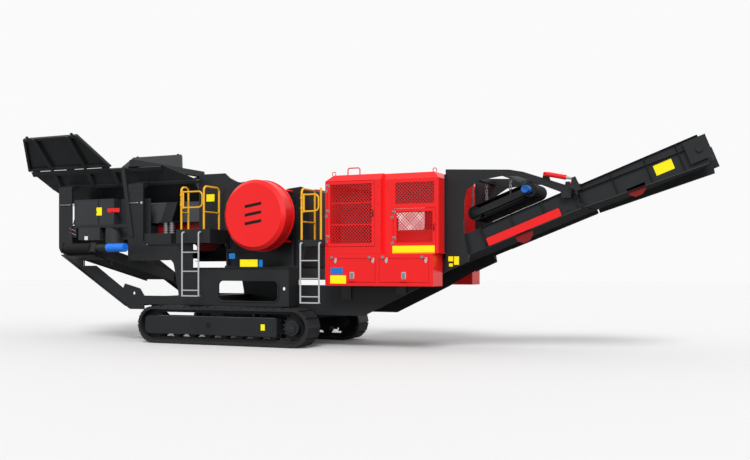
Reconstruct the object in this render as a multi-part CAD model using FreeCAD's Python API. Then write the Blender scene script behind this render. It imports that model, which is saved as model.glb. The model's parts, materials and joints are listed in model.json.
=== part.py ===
"""Mobile jaw crusher on crawler tracks, built as separate named pieces.

Frame: +X runs along the machine from the feed hopper to the discharge conveyor, +Y is the left side,
+Z is up, and the origin lies on the ground midway between the tracks. Sizes are in millimetres.
"""
import FreeCAD, Part

import math
import os

from FreeCAD import Vector

# Crawler tracks
TRACK_LENGTH = 4070.0
TRACK_HEIGHT = 775.0
WIDTH_OVER_TRACKS = 2800.0
SHOE_WIDTH = 500.0
SHOE_COUNT = 46
SHOE_GAP = 26.0
GROUSER_HEIGHT = 25.0
SHOE_PLATE = 45.0
RAIL_DEPTH = 62.0
RAIL_WIDTH = 36.0
RAIL_SPACING = 130.0
RUNNING_GAP = 0.3
ROLLER_COUNT = 7
ROLLER_RADIUS = 100.0
ROLLER_PITCH = 385.0
CARRIER_RADIUS = 34.0
SPROCKET_TEETH = 20
TRACK_FRAME_TOP = 570.0
TRACK_FRAME_BOTTOM = 200.0
TRACK_FRAME_PLATE = 20.0
TRACK_FRAME_WIDTH = 400.0

# Chassis
SIDE_FACE_Y = 1270.0
SIDE_PLATE = 30.0
FLANGE_WIDTH = 130.0
FLANGE_PLATE = 16.0
POST_TOP = 3350.0
REAR_POST_X = -4310.0
POST_WIDTH = 370.0
MID_POST_X = -2400.0
MID_POST_WIDTH = 400.0
BEAM_TOP = 2050.0
BEAM_BOTTOM = 1740.0
SILL_TOP = 980.0
SILL_BOTTOM = 800.0
CRUSHER_DECK = 1570.0
DECK_START_X = -740.0
DECK_END_X = 1530.0
KEEL_FACE_Y = 860.0
KEEL_PLATE = 40.0
KEEL_BOTTOM = 630.0
KEEL_REAR_X = -2100.0
CROSS_BEAM_TOP = 470.0
EYE_RADIUS = 35.0

# Hopper and feeder
HOPPER_REAR_X = -5190.0
HOPPER_FRONT_X = -690.0
HINGE_Y = 1235.0
HINGE_Z = 3750.0
WALL_FOOT_Y = 980.0
THROAT_Y = 620.0
THROAT_Z = 2990.0
THROAT_FRONT_X = -900.0
THROAT_REAR_X = -4382.0
HOPPER_PLATE = 14.0
WING_RISE = 650.0
WING_SPREAD = 590.0
WING_PLATE = 12.0
WING_FOOT_REAR_X = -5190.0
WING_FOOT_FRONT_X = -2830.0
WING_HEAD_REAR_X = -4770.0
WING_HEAD_FRONT_X = -3280.0
RIB_DEPTH = 70.0
STRUT_TOP = 3700.0
STRUT_FOOT = 2230.0
STRUT_PLATE = 30.0
RIB_WIDTH = 80.0
KNUCKLE_RADIUS = 24.0
HINGE_GAP = 30.0
FEEDER_REAR_X = -4300.0
FEEDER_FRONT_X = -930.0
FEEDER_HALF_WIDTH = 580.0
FEEDER_TOP = 2960.0
FEEDER_FLOOR = 2640.0
FEEDER_BOTTOM = 2550.0
FEEDER_PLATE = 16.0
GRIZZLY_START_X = -2150.0
GRIZZLY_BAR_COUNT = 9
SKIRT_DEPTH = 90.0
SPRING_RADIUS = 62.0
SPRING_HEIGHT = 250.0
SPRING_TURNS = 5
SPRING_Y = 870.0
SPRING_SEAT = 2290.0

# Jaw crusher
SHAFT_X = 852.0
SHAFT_Z = 2600.0
SHAFT_RADIUS = 110.0
CHEEK_Y = 640.0
CHEEK_PLATE = 60.0
FLYWHEEL_RADIUS = 585.0
FLYWHEEL_WIDTH = 280.0
FLYWHEEL_FACE_Y = 1440.0
GUARD_FACE_Y = 1500.0
GUARD_BACK_Y = 1100.0
GUARD_RADIUS = 700.0
GUARD_FACE_RADIUS = 630.0
GUARD_BEVEL = 70.0
GUARD_PLATE = 8.0
INLET_Y = 850.0

# Power pack
PACK_START_X = 2395.0
PACK_END_X = 4650.0
PACK_FLOOR = 1220.0
PACK_SPLIT = 1820.0
PACK_TOP = 3320.0
PACK_HALF_WIDTH = 1400.0
PACK_WALL = 40.0
PACK_CHAMFER = 120.0
PACK_STEP_X = 3550.0
PACK_STEP_DEPTH = 100.0
LOCKER_BACK_Y = 900.0
TUNNEL_TOP = 2270.0
TUNNEL_START_X = 3300.0
DOOR_PLATE = 30.0
DOOR_GAP = 6.0
DOOR_FRAME = 60.0
MESH_PLATE = 10.0

# Main conveyor
CONVEYOR_ANGLE = 21.4
FOLD_X = 7000.0
FOLD_Z = 2990.0
PANEL_DROP = 20.0
PANEL_HEIGHT = 390.0
PANEL_HALF_WIDTH = 800.0
PANEL_PLATE = 12.0
PANEL_FLANGE = 55.0
HEAD_LENGTH = 2170.0
HEAD_DEPTH = 540.0
FOLD_GAP = 12.0
BELT_WIDTH = 1000.0
BELT_THICKNESS = 16.0
BELT_DROP = 110.0
RETURN_DROP = 360.0
DRUM_RADIUS = 130.0
TAIL_X = -300.0
TAIL_TOP = 860.0
TAIL_BOTTOM = 500.0
ARM_Y = 900.0
ARM_PLATE = 25.0
LIFT_REAR_X = 6520.0
LIFT_REAR_Z = 3210.0
LIFT_LEVER = 115.0
LIFT_LEVER_ANGLE = 70.0
CYLINDER_RADIUS = 42.0
ROD_RADIUS = 24.0
CYLINDER_Y = 975.0
LEVER_OFFSET = 48.0
LEVER_PLATE = 14.0
PIN_RADIUS = 20.0

# Side conveyor
SIDE_X = -3220.0
SIDE_HALF_WIDTH = 390.0
SIDE_ANGLE = 12.5
SIDE_FOLD_Y = 1400.0
SIDE_FOLD_Z = 2010.0
SIDE_PANEL = 220.0
SIDE_HEAD_LENGTH = 430.0
SIDE_TAIL_LENGTH = 2400.0
SIDE_DRUM_RADIUS = 85.0
SIDE_TROUGH = 1615.0
SIDE_PIN = 10.0

# Access
PLATFORM_FACE_Y = 1500.0
PLATFORM_BACK_Y = 900.0
RAIL_TUBE = 21.0
GATE_TUBE = 17.0
LADDER_TUBE = 16.0
LADDER_WIDTH = 400.0
RAIL_CORNER = 90.0

PARTS = "parts"
ALONG_Y = Vector(0, 1, 0)


def vec(x, y, z):
    return Vector(x, y, z)


def box(x0, x1, y0, y1, z0, z1):
    return Part.makeBox(x1 - x0, y1 - y0, z1 - z0, vec(x0, y0, z0))


def prism(points, direction):
    wire = Part.makePolygon(points + [points[0]])
    return Part.Face(wire).extrude(direction)


def plate_xz(outline, y0, y1):
    """A plate that stands along the machine: its outline is (x, z) points."""
    return prism([vec(x, y0, z) for x, z in outline], vec(0, y1 - y0, 0))


def plate_yz(outline, x0, x1):
    """A plate that stands across the machine: its outline is (y, z) points."""
    return prism([vec(x0, y, z) for y, z in outline], vec(x1 - x0, 0, 0))


def plate_xy(outline, z0, z1):
    """A flat plate: its outline is (x, y) points."""
    return prism([vec(x, y, z0) for x, y in outline], vec(0, 0, z1 - z0))


def rod_y(x, z, radius, y0, y1):
    return Part.makeCylinder(radius, y1 - y0, vec(x, y0, z), ALONG_Y)


def rod_between(start, end, radius):
    return Part.makeCylinder(radius, (end - start).Length, start, end - start)


def strip(start, end, thickness, y0, y1):
    """A flange along the line from start to end, (x, z) points, on its left-hand side."""
    (x0, z0), (x1, z1) = start, end
    length = math.hypot(x1 - x0, z1 - z0)
    nx, nz = -(z1 - z0) / length * thickness, (x1 - x0) / length * thickness
    return plate_xz([start, end, (x1 + nx, z1 + nz), (x0 + nx, z0 + nz)], y0, y1)


def rounded(outline, radii):
    """The closed outline's wire, each corner rounded by its own radius, in the XZ plane at y = 0."""
    count = len(outline)
    edges, last = [], None
    first = None
    for i in range(count):
        before, corner, after = (vec(outline[(i + k) % count][0], 0, outline[(i + k) % count][1]) for k in (-1, 0, 1))
        radius = radii[i]
        if radius <= 0:
            start = end = corner
            arc = None
        else:
            a, b = (before - corner).normalize(), (after - corner).normalize()
            half = a.getAngle(b) / 2
            reach = radius / math.tan(half)
            start, end = corner + a * reach, corner + b * reach
            middle = corner + (a + b).normalize() * (radius / math.sin(half) - radius)
            arc = Part.Arc(start, middle, end).toShape()
        if last is not None:
            edges.append(Part.makeLine(last, start))
        else:
            first = start
        if arc:
            edges.append(arc)
        last = end
    edges.append(Part.makeLine(last, first))
    return Part.Wire(edges)


def rounded_xz(outline, radii, y0, y1):
    face = Part.Face(rounded(outline, radii))
    face.translate(vec(0, y0, 0))
    return face.extrude(vec(0, y1 - y0, 0))


def tube_path(points, corner, radius):
    """A round tube along straight runs, with an arc of radius corner at each inner point."""
    pieces, last = [], points[0]
    for i in range(1, len(points) - 1):
        a = (points[i - 1] - points[i]).normalize()
        b = (points[i + 1] - points[i]).normalize()
        half = a.getAngle(b) / 2
        start = points[i] + a * (corner / math.tan(half))
        centre = points[i] + (a + b).normalize() * (corner / math.sin(half))
        pieces.append(rod_between(last, start, radius))
        disc = Part.Face(Part.Wire(Part.makeCircle(radius, start, a)))
        pieces.append(disc.revolve(centre, b.cross(a), 180 - 2 * math.degrees(half)))
        last = points[i] + b * (corner / math.tan(half))
    pieces.append(rod_between(last, points[-1], radius))
    return fused(pieces)


def mirrored(shape):
    return shape.mirror(vec(0, 0, 0), vec(0, 1, 0))


def both(shape):
    """The right-hand shape and its mirror image on the left, apart from each other."""
    return [shape, mirrored(shape)]


def fused(shapes):
    shapes = list(shapes)
    whole = shapes[0]
    if len(shapes) > 1:
        whole = whole.multiFuse(shapes[1:])
    return whole.removeSplitter()


def save(node, shapes):
    solids = []
    for shape in shapes if isinstance(shapes, (list, tuple)) else [shapes]:
        solids += shape.Solids
    for solid in solids:
        if not solid.isValid() or solid.Volume <= 0:
            raise ValueError(f"{node} has a bad solid")
    Part.makeCompound(solids).exportStep(os.path.join(PARTS, node + ".step"))


# Crawler tracks

TRACK_RADIUS = TRACK_HEIGHT / 2
TRACK_Z = TRACK_RADIUS
END_X = TRACK_LENGTH / 2 - TRACK_RADIUS
TRACK_Y = WIDTH_OVER_TRACKS / 2 - SHOE_WIDTH / 2
ROOT_RADIUS = TRACK_RADIUS - GROUSER_HEIGHT
SHOE_INNER_RADIUS = ROOT_RADIUS - SHOE_PLATE
RAIL_INNER_RADIUS = SHOE_INNER_RADIUS - RAIL_DEPTH


def loop_point(distance, offset):
    """The point at a distance along the track's root line, moved out by offset, as (x, z)."""
    straight, bend = 2 * END_X, math.pi * ROOT_RADIUS
    distance %= 2 * (straight + bend)
    radius = ROOT_RADIUS + offset
    if distance < straight:
        return -END_X + distance, TRACK_Z - radius
    distance -= straight
    if distance < bend:
        angle = -math.pi / 2 + distance / ROOT_RADIUS
        return END_X + radius * math.cos(angle), TRACK_Z + radius * math.sin(angle)
    distance -= bend
    if distance < straight:
        return END_X - distance, TRACK_Z + radius
    angle = math.pi / 2 + (distance - straight) / ROOT_RADIUS
    return -END_X + radius * math.cos(angle), TRACK_Z + radius * math.sin(angle)


def stadium(radius, y0, y1):
    """A solid with two half-round ends, as wide as the track's loop at that radius."""
    corners = [(-END_X, TRACK_Z - radius), (END_X, TRACK_Z - radius), (END_X, TRACK_Z + radius), (-END_X, TRACK_Z + radius)]
    p = [vec(x, y0, z) for x, z in corners]
    edges = [
        Part.makeLine(p[0], p[1]),
        Part.Arc(p[1], vec(END_X + radius, y0, TRACK_Z), p[2]).toShape(),
        Part.makeLine(p[2], p[3]),
        Part.Arc(p[3], vec(-END_X - radius, y0, TRACK_Z), p[0]).toShape(),
    ]
    return Part.Face(Part.Wire(edges)).extrude(vec(0, y1 - y0, 0))


def track_loop(y):
    pitch = 2 * (2 * END_X + math.pi * ROOT_RADIUS) / SHOE_COUNT
    outline = []
    for i in range(SHOE_COUNT):
        start = i * pitch + SHOE_GAP / 2
        end = (i + 1) * pitch - SHOE_GAP / 2
        outline += [loop_point(start, 0), loop_point(start, GROUSER_HEIGHT)]
        outline += [loop_point(end, GROUSER_HEIGHT), loop_point(end, 0)]
    y0, y1 = y - SHOE_WIDTH / 2, y + SHOE_WIDTH / 2
    shoes = plate_xz(outline, y0, y1).cut(stadium(SHOE_INNER_RADIUS, y0 - 1, y1 + 1))
    rails = []
    for side in (-1, 1):
        middle = y + side * RAIL_SPACING / 2
        r0, r1 = middle - RAIL_WIDTH / 2, middle + RAIL_WIDTH / 2
        rails.append(stadium(SHOE_INNER_RADIUS, r0, r1).cut(stadium(RAIL_INNER_RADIUS, r0 - 1, r1 + 1)))
    return fused([shoes] + rails)


def sprocket(y):
    root, tip = SHOE_INNER_RADIUS - 62, SHOE_INNER_RADIUS - 18
    outline = []
    for i in range(SPROCKET_TEETH):
        for share, radius in ((0.05, root), (0.3, tip), (0.55, tip), (0.8, root)):
            angle = 2 * math.pi * (i + share) / SPROCKET_TEETH
            outline.append((END_X + radius * math.cos(angle), TRACK_Z + radius * math.sin(angle)))
    half = (RAIL_SPACING - RAIL_WIDTH) / 2 - 10
    hub = rod_y(END_X, TRACK_Z, 180, y - half - 30, y + half + 30)
    return fused([plate_xz(outline, y - half, y + half), hub])


def wheel(x, z, y, tread, flange, axle, axle_reach):
    """A track wheel: treads on the two rails, a flange between them, and its axle."""
    half_tread = (RAIL_SPACING + RAIL_WIDTH) / 2 + 8
    half_flange = (RAIL_SPACING - RAIL_WIDTH) / 2 - 8
    pieces = [rod_y(x, z, tread, y - half_tread, y + half_tread)]
    pieces.append(rod_y(x, z, flange, y - half_flange, y + half_flange))
    pieces.append(rod_y(x, z, axle, y - axle_reach, y + axle_reach))
    return fused(pieces)


def track_frame(y):
    outer, inner = TRACK_FRAME_WIDTH / 2, TRACK_FRAME_WIDTH / 2 - TRACK_FRAME_PLATE
    rear, front = -END_X - 230, END_X - 350
    top, bottom = TRACK_FRAME_TOP, TRACK_FRAME_BOTTOM
    side = [(rear, bottom + 60), (rear + 60, bottom), (front, bottom), (front, top), (rear + 60, top), (rear, top - 60)]
    pieces = [plate_xz(side, y - outer, y - inner), plate_xz(side, y + inner, y + outer)]
    roof_rear = -END_X + 320
    pieces.append(box(roof_rear, front, y - inner, y + inner, top - TRACK_FRAME_PLATE, top))
    pieces.append(box(front - 20, front, y - inner, y + inner, bottom + 60, top - TRACK_FRAME_PLATE))
    return fused(pieces)


def make_tracks():
    for_frame = TRACK_FRAME_WIDTH / 2 - TRACK_FRAME_PLATE
    loops, frames, sprockets, idlers, rollers, drives, carriers = [], [], [], [], [], [], []
    for side in (-1, 1):
        y = side * TRACK_Y
        loops.append(track_loop(y))
        frames.append(track_frame(y))
        sprockets.append(sprocket(y))
        idler_tread = RAIL_INNER_RADIUS - RUNNING_GAP
        idlers.append(wheel(-END_X, TRACK_Z, y, idler_tread, idler_tread + 35, 60, for_frame))
        for i in range(ROLLER_COUNT):
            x = (i - (ROLLER_COUNT - 1) / 2) * ROLLER_PITCH
            z = TRACK_Z - RAIL_INNER_RADIUS + ROLLER_RADIUS + RUNNING_GAP
            rollers.append(wheel(x, z, y, ROLLER_RADIUS, ROLLER_RADIUS + 20, 30, for_frame))
        for x in (-700.0, 700.0):
            z = TRACK_Z + RAIL_INNER_RADIUS - CARRIER_RADIUS - RUNNING_GAP
            half = RAIL_SPACING / 2 + RAIL_WIDTH / 2
            roller = rod_y(x, z, CARRIER_RADIUS, y - half, y + half)
            foot = box(x - 14, x + 14, y - 14, y + 14, TRACK_FRAME_TOP, z)
            carriers.append(fused([roller, foot]))
        half = (RAIL_SPACING - RAIL_WIDTH) / 2 + 20
        face = y + side * 215
        hub = rod_y(END_X, TRACK_Z, 150, min(y + side * half, face), max(y + side * half, face))
        cap = rod_y(END_X, TRACK_Z, 95, min(face, face + side * 25), max(face, face + side * 25))
        motor_end = y - side * 330
        motor = rod_y(END_X, TRACK_Z, 130, min(y - side * half, motor_end), max(y - side * half, motor_end))
        arm_y = sorted((y - side * (for_frame + 5), y - side * (TRACK_FRAME_WIDTH / 2)))
        arm = box(END_X - 350, END_X, arm_y[0], arm_y[1], TRACK_Z - 110, TRACK_Z + 110)
        drives.append(fused([hub, cap]))
        drives.append(fused([motor, arm]))
    save("track_loops", loops)
    save("track_frames", frames)
    save("track_sprockets", sprockets)
    save("track_rollers", idlers + rollers + carriers)
    save("track_drives", drives)


# Chassis

def side_outline():
    """Outer edge of one chassis side, as (x, z) points with the corner radius of each."""
    return [
        (REAR_POST_X, POST_TOP, 0),
        (REAR_POST_X, 1960, 150),
        (-2350, 690, 120),
        (-1980, 690, 0),
        (-1980, SILL_BOTTOM, 0),
        (DECK_END_X, SILL_BOTTOM, 0),
        (DECK_END_X, CRUSHER_DECK, 0),
        (DECK_START_X, CRUSHER_DECK, 0),
        (DECK_START_X, BEAM_TOP, 0),
        (MID_POST_X + MID_POST_WIDTH, BEAM_TOP, 120),
        (MID_POST_X + MID_POST_WIDTH, POST_TOP, 0),
        (MID_POST_X, POST_TOP, 0),
        (MID_POST_X, BEAM_BOTTOM, 80),
        (-1230, BEAM_BOTTOM, 150),
        (-1090, SILL_TOP + 60, 0),
        (-1090, SILL_TOP, 0),
        (-1980, SILL_TOP, 0),
        (-2090, 1130, 0),
        (-2480, 1230, 0),
        (-2530, 1130, 0),
        (REAR_POST_X + POST_WIDTH, 2050, 150),
        (REAR_POST_X + POST_WIDTH, POST_TOP, 0),
    ]


def make_chassis():
    rows = side_outline()
    outline, radii = [(x, z) for x, z, _ in rows], [r for _, _, r in rows]
    face, back = SIDE_FACE_Y, SIDE_FACE_Y - SIDE_PLATE
    plate = rounded_xz(outline, radii, -face, -back)
    window = [(-100, 900), (1280, 900), (1280, 1300), (-100, 1300)]
    plate = plate.cut(rounded_xz(window, [90] * 4, -face - 1, -back + 1))
    lip = rounded_xz([(-125, 875), (1305, 875), (1305, 1325), (-125, 1325)], [115] * 4, -face - 20, -face)
    lip = lip.cut(rounded_xz(window, [90] * 4, -face - 21, -face + 1))
    flange = FLANGE_PLATE
    f0, f1 = -face - 30, -face + FLANGE_WIDTH - 30
    pieces = [plate, lip]
    pieces.append(strip((-4225, 1850), (-2440, 750), flange, f0, f1))
    pieces.append(strip((MID_POST_X, BEAM_BOTTOM), (-1380, BEAM_BOTTOM), -flange, f0, f1))
    pieces.append(strip((DECK_START_X, CRUSHER_DECK), (DECK_END_X, CRUSHER_DECK), -flange, f0, f1))
    pieces.append(strip((-1860, BEAM_TOP), (DECK_START_X, BEAM_TOP), flange, f0, f1))
    pieces.append(box(DECK_END_X - 30, DECK_END_X, -back, -KEEL_FACE_Y, SILL_BOTTOM, CRUSHER_DECK))
    side = fused(pieces)
    for x, z in EYES:
        side = side.cut(rod_y(x, z, EYE_RADIUS, -face - 40, -back + 40))
    far = mirrored(side)
    trough = box(SIDE_X - SIDE_HALF_WIDTH - 30, SIDE_X + SIDE_HALF_WIDTH + 30, -face - 50, -back + 150, SIDE_TROUGH, 2200)
    save("chassis_sides", [side.cut(trough), far])

    members = []
    rows = [
        # x0, x1, z0, z1 of the members that run from side to side
        (-4250, -4050, 2060, SPRING_SEAT),
        (-2340, -2140, 760, 940),
        (-2340, -2140, 1790, 1990),
        (-1080, -900, 810, 970),
        (-250, -50, 1330, CRUSHER_DECK - FLANGE_PLATE),
        (1290, 1490, 1330, CRUSHER_DECK - FLANGE_PLATE),
    ]
    for x0, x1, z0, z1 in rows:
        members.append(box(x0, x1, -back, back, z0, z1))
    for side_sign in (-1, 1):
        y0, y1 = sorted((side_sign * (SPRING_Y - 90), side_sign * back))
        members.append(box(-1995, -1300, y0, y1, BEAM_TOP + flange, SPRING_SEAT))
        y0, y1 = sorted((side_sign * (back - 60), side_sign * back))
        members.append(box(REAR_POST_X + 60, MID_POST_X + 100, y0, y1, 2440, 2500))
        for x0 in (-2100, 1290):
            y0, y1 = sorted((side_sign * KEEL_FACE_Y, side_sign * back))
            members.append(box(x0, x0 + 200, y0, y1, SILL_BOTTOM + 5, SILL_TOP - 20))
    save("cross_members", members)

    keel = [
        (KEEL_REAR_X, KEEL_BOTTOM),
        (2950, KEEL_BOTTOM),
        (4085, 1178),
        (5080, 1740),
        (5080, 1960),
        (4250, PACK_FLOOR + 350),
        (3600, PACK_FLOOR),
        (DECK_END_X, PACK_FLOOR),
        (DECK_END_X, SILL_BOTTOM),
        (KEEL_REAR_X, SILL_BOTTOM),
    ]
    keels = both(plate_xz(keel, -KEEL_FACE_Y, -KEEL_FACE_Y + KEEL_PLATE))
    reach = TRACK_Y - TRACK_FRAME_WIDTH / 2
    for x in (-900, 500):
        keels.append(box(x, x + 300, -reach, reach, 300, CROSS_BEAM_TOP))
        for side_sign in (-1, 1):
            y0, y1 = sorted((side_sign * KEEL_FACE_Y, side_sign * (KEEL_FACE_Y - KEEL_PLATE)))
            keels.append(box(x, x + 300, y0, y1, CROSS_BEAM_TOP, KEEL_BOTTOM))
    keels.append(box(KEEL_REAR_X, KEEL_REAR_X + 40, -KEEL_FACE_Y, KEEL_FACE_Y, KEEL_BOTTOM, SILL_BOTTOM))
    keels.append(box(-1080, -900, -KEEL_FACE_Y, KEEL_FACE_Y, SILL_BOTTOM - 60, 810))
    save("centre_frame", fused(keels))


EYES = ((-2240, 1030), (1415, 1150))


# Hopper

def wall_at(z, foot, head):
    return foot[0] + (head[0] - foot[0]) * (z - foot[1]) / (head[1] - foot[1])


def slant_wall(foot, head, thickness, outline):
    """A flared right-hand wall through (|y|, z) points foot and head, cut to an (x, z) outline."""
    (y0, z0), (y1, z1) = foot, head
    length = math.hypot(y1 - y0, z1 - z0)
    ny, nz = -(z1 - z0) / length * thickness, (y1 - y0) / length * thickness
    corners = [(-y0, z0), (-y1, z1), (-y1 - ny, z1 + nz), (-y0 - ny, z0 + nz)]
    return plate_yz(corners, -6000, 0).common(plate_xz(outline, -3000, 0))


def rear_x(z):
    return HOPPER_REAR_X + (HINGE_Z - z) * (THROAT_REAR_X - HOPPER_REAR_X) / (HINGE_Z - THROAT_Z)


def flare_bar(x0, x1, z0, z1, o0, o1):
    """A bar on the outside of the fixed flared wall, from height z0 to z1, out by o0 to o1."""
    foot, head = (WALL_FOOT_Y, POST_TOP), (HINGE_Y, HINGE_Z)
    length = math.hypot(head[0] - foot[0], head[1] - foot[1])
    ny, nz = (head[1] - foot[1]) / length, -(head[0] - foot[0]) / length
    corners = []
    for z, o in ((z0, o0), (z1, o0), (z1, o1), (z0, o1)):
        corners.append((-(wall_at(z, foot, head) + ny * o), z + nz * o))
    return plate_yz(corners, x0, x1)


WALL_TOP = HINGE_Z - 28.0
RIB_X = (-4500.0, -3560.0)
WING_KNUCKLES = (-5090.0, -4100.0, -3120.0)
WING_PIN = 12.0
LIP_PLATE = 8.0


def wing_lip():
    """A plate outside the right-hand wing's foot, which covers the gap along its hinge."""
    near = KNUCKLE_RADIUS + 39
    far = near + LIP_PLATE
    outline = [(-60, 45), (-60, far), (HINGE_GAP - 6, far), (HINGE_GAP - 6, near), (-28, near), (-36, 45)]
    return plate_yz([on_wing(*point) for point in outline], HOPPER_REAR_X + 100, WING_FOOT_FRONT_X - 40)


def wing_carriers():
    """The hopper's half of each hinge that carries the right-hand wing: a knuckle, its pin and its lug."""
    pieces = []
    for x in WING_KNUCKLES:
        pieces.append(Part.makeCylinder(KNUCKLE_RADIUS, 90, vec(x + 96, -HINGE_Y, HINGE_Z), vec(1, 0, 0)))
        pieces.append(Part.makeCylinder(WING_PIN, 96, vec(x, -HINGE_Y, HINGE_Z), vec(1, 0, 0)))
        pieces.append(flare_bar(x + 96, x + 186, WALL_TOP - 60, HINGE_Z, 0, 20))
    return pieces


def make_hopper():
    foot, head = (WALL_FOOT_Y, POST_TOP), (HINGE_Y, HINGE_Z)
    tall = [(rear_x(POST_TOP), POST_TOP), (rear_x(WALL_TOP), WALL_TOP), (-1530, WALL_TOP)]
    tall += [(HOPPER_FRONT_X, POST_TOP + 10), (HOPPER_FRONT_X, POST_TOP)]
    upper = slant_wall(foot, (wall_at(WALL_TOP + 20, foot, head), WALL_TOP + 20), HOPPER_PLATE, tall)
    low = [(rear_x(THROAT_Z), THROAT_Z), (rear_x(POST_TOP + 20), POST_TOP + 20)]
    low += [(THROAT_FRONT_X, POST_TOP + 20), (THROAT_FRONT_X, THROAT_Z)]
    lower = slant_wall((THROAT_Y, THROAT_Z), foot, HOPPER_PLATE, low)
    bars = [flare_bar(HOPPER_REAR_X + 70, -1560, WALL_TOP - 75, WALL_TOP - 5, 0, 45)]
    bars.append(flare_bar(rear_x(POST_TOP) + 40, HOPPER_FRONT_X - 40, POST_TOP + 5, POST_TOP + 60, 0, 45))
    for x in RIB_X + (-2860.0,):
        bars.append(flare_bar(x, x + RIB_WIDTH, POST_TOP + 60, WALL_TOP - 75, 0, RIB_DEPTH))
    strut = [(-2560, STRUT_TOP), (-2470, STRUT_TOP), (-2240, STRUT_FOOT), (-2335, STRUT_FOOT)]
    bars.append(plate_xz(strut, -SIDE_FACE_Y - STRUT_PLATE, -SIDE_FACE_Y))
    bars.append(box(-2560, -2470, -SIDE_FACE_Y - STRUT_PLATE / 2, -wall_at(STRUT_TOP, foot, head) - 20, STRUT_TOP - 50, STRUT_TOP))
    side = fused([upper, lower, wing_lip()] + bars + wing_carriers())
    legs = []
    for x, width in ((REAR_POST_X + 40, POST_WIDTH - 80), (MID_POST_X + 40, MID_POST_WIDTH - 80)):
        y_in = SIDE_FACE_Y - SIDE_PLATE
        leg = plate_yz(
            [(-y_in, 2950), (-y_in, 3350), (-wall_at(3420, foot, head), 3420), (-WALL_FOOT_Y, POST_TOP), (-y_in + 60, 3250), (-y_in + 60, 2950)],
            x, x + width,
        )
        legs.append(leg.cut(side))
    side = fused([side] + legs)
    sides = both(side)

    slope = [(rear_x(THROAT_Z), THROAT_Z), (rear_x(3600), 3600), (rear_x(3600) + 20, 3600), (rear_x(THROAT_Z) + 20, THROAT_Z)]
    slab = plate_xz(slope, -1300, 1300)
    inside = plate_yz(
        [(-THROAT_Y, THROAT_Z), (-WALL_FOOT_Y, POST_TOP), (-HINGE_Y, HINGE_Z), (HINGE_Y, HINGE_Z), (WALL_FOOT_Y, POST_TOP), (THROAT_Y, THROAT_Z)],
        -6000, 0,
    )
    slab = slab.common(inside).cut(sides[0]).cut(sides[1])
    bars = []
    for y in (-500, 0, 500):
        rib = [(rear_x(3050), 3050), (rear_x(3560), 3560), (rear_x(3560) - 60, 3560), (rear_x(3050) - 60, 3050)]
        bars.append(plate_xz(rib, y - 30, y + 30))
    save("hopper", sides + [fused([slab] + bars)])

    y_top = wall_at(WALL_TOP, foot, head)
    tie = box(-2350, -2210, -y_top - 60, y_top + 60, WALL_TOP + 15, WALL_TOP + 145)
    feet = []
    for side_sign in (-1, 1):
        y0, y1 = sorted((side_sign * (y_top - 40), side_sign * (y_top + 60)))
        feet.append(box(-2420, -2140, y0, y1, WALL_TOP, WALL_TOP + 15))
    save("hopper_tie", fused([tie] + feet))


def on_wing(along, out):
    """Right-hand (y, z) point on the wing's section: up its slope from the hinge, and out from its plate."""
    length = math.hypot(WING_SPREAD, WING_RISE)
    dy, dz = WING_SPREAD / length, WING_RISE / length
    return -(HINGE_Y + dy * along + dz * out), HINGE_Z + dz * along - dy * out


WING_LENGTH = math.hypot(WING_SPREAD, WING_RISE)


def wing_edge(along, front):
    share = along / WING_LENGTH
    if front:
        return WING_FOOT_FRONT_X + share * (WING_HEAD_FRONT_X - WING_FOOT_FRONT_X)
    return WING_FOOT_REAR_X + share * (WING_HEAD_REAR_X - WING_FOOT_REAR_X)


def wing_slab(corners, o0, o1):
    """A flat piece of the wing: corners are (x, along), lying between o0 and o1 out from its plate."""
    bottom = [vec(x, *on_wing(a, o0)) for x, a in corners]
    (y0, z0), (y1, z1) = on_wing(0, o0), on_wing(0, o1)
    return prism(bottom, vec(0, y1 - y0, z1 - z0))


def make_wing():
    a0, a1 = HINGE_GAP, WING_LENGTH
    trapezoid = [(wing_edge(a, front), a) for front, a in ((0, a0), (0, a1), (1, a1), (1, a0))]
    pieces = [wing_slab(trapezoid, 0, WING_PLATE)]
    rail = 60.0
    out = WING_PLATE + 45
    pieces.append(wing_slab([(wing_edge(a, f), a) for f, a in ((0, a1 - rail), (0, a1), (1, a1), (1, a1 - rail))], WING_PLATE, out))
    pieces.append(wing_slab([(wing_edge(a, f), a) for f, a in ((0, a0), (0, a0 + rail), (1, a0 + rail), (1, a0))], WING_PLATE, out))
    for front, sign in ((0, 1), (1, -1)):
        edge = [(wing_edge(a0, front), a0), (wing_edge(a1, front), a1)]
        inner = [(x + sign * rail, a) for x, a in reversed(edge)]
        pieces.append(wing_slab(edge + inner, WING_PLATE, out))
    for x in RIB_X:
        pieces.append(wing_slab([(x, a0), (x, a1), (x + RIB_WIDTH, a1), (x + RIB_WIDTH, a0)], WING_PLATE, WING_PLATE + RIB_DEPTH))
    for x in (-4690.0, -3440.0):
        pieces.append(wing_slab([(x, a1), (x, a1 + 45), (x + 60, a1 + 45), (x + 60, a1)], 10, 30))
    for x in WING_KNUCKLES:
        barrel = Part.makeCylinder(KNUCKLE_RADIUS, 90, vec(x, -HINGE_Y, HINGE_Z), vec(1, 0, 0))
        ear = wing_slab([(x, 0), (x, a0 + 5), (x + 90, a0 + 5), (x + 90, 0)], -WING_PLATE, WING_PLATE)
        bore = Part.makeCylinder(WING_PIN + RUNNING_GAP, 92, vec(x - 1, -HINGE_Y, HINGE_Z), vec(1, 0, 0))
        pieces.append(fused([barrel, ear]).cut(bore))
    wing = fused(pieces)
    save("wing_right", wing)
    save("wing_left", mirrored(wing))


# Feeder

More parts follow.
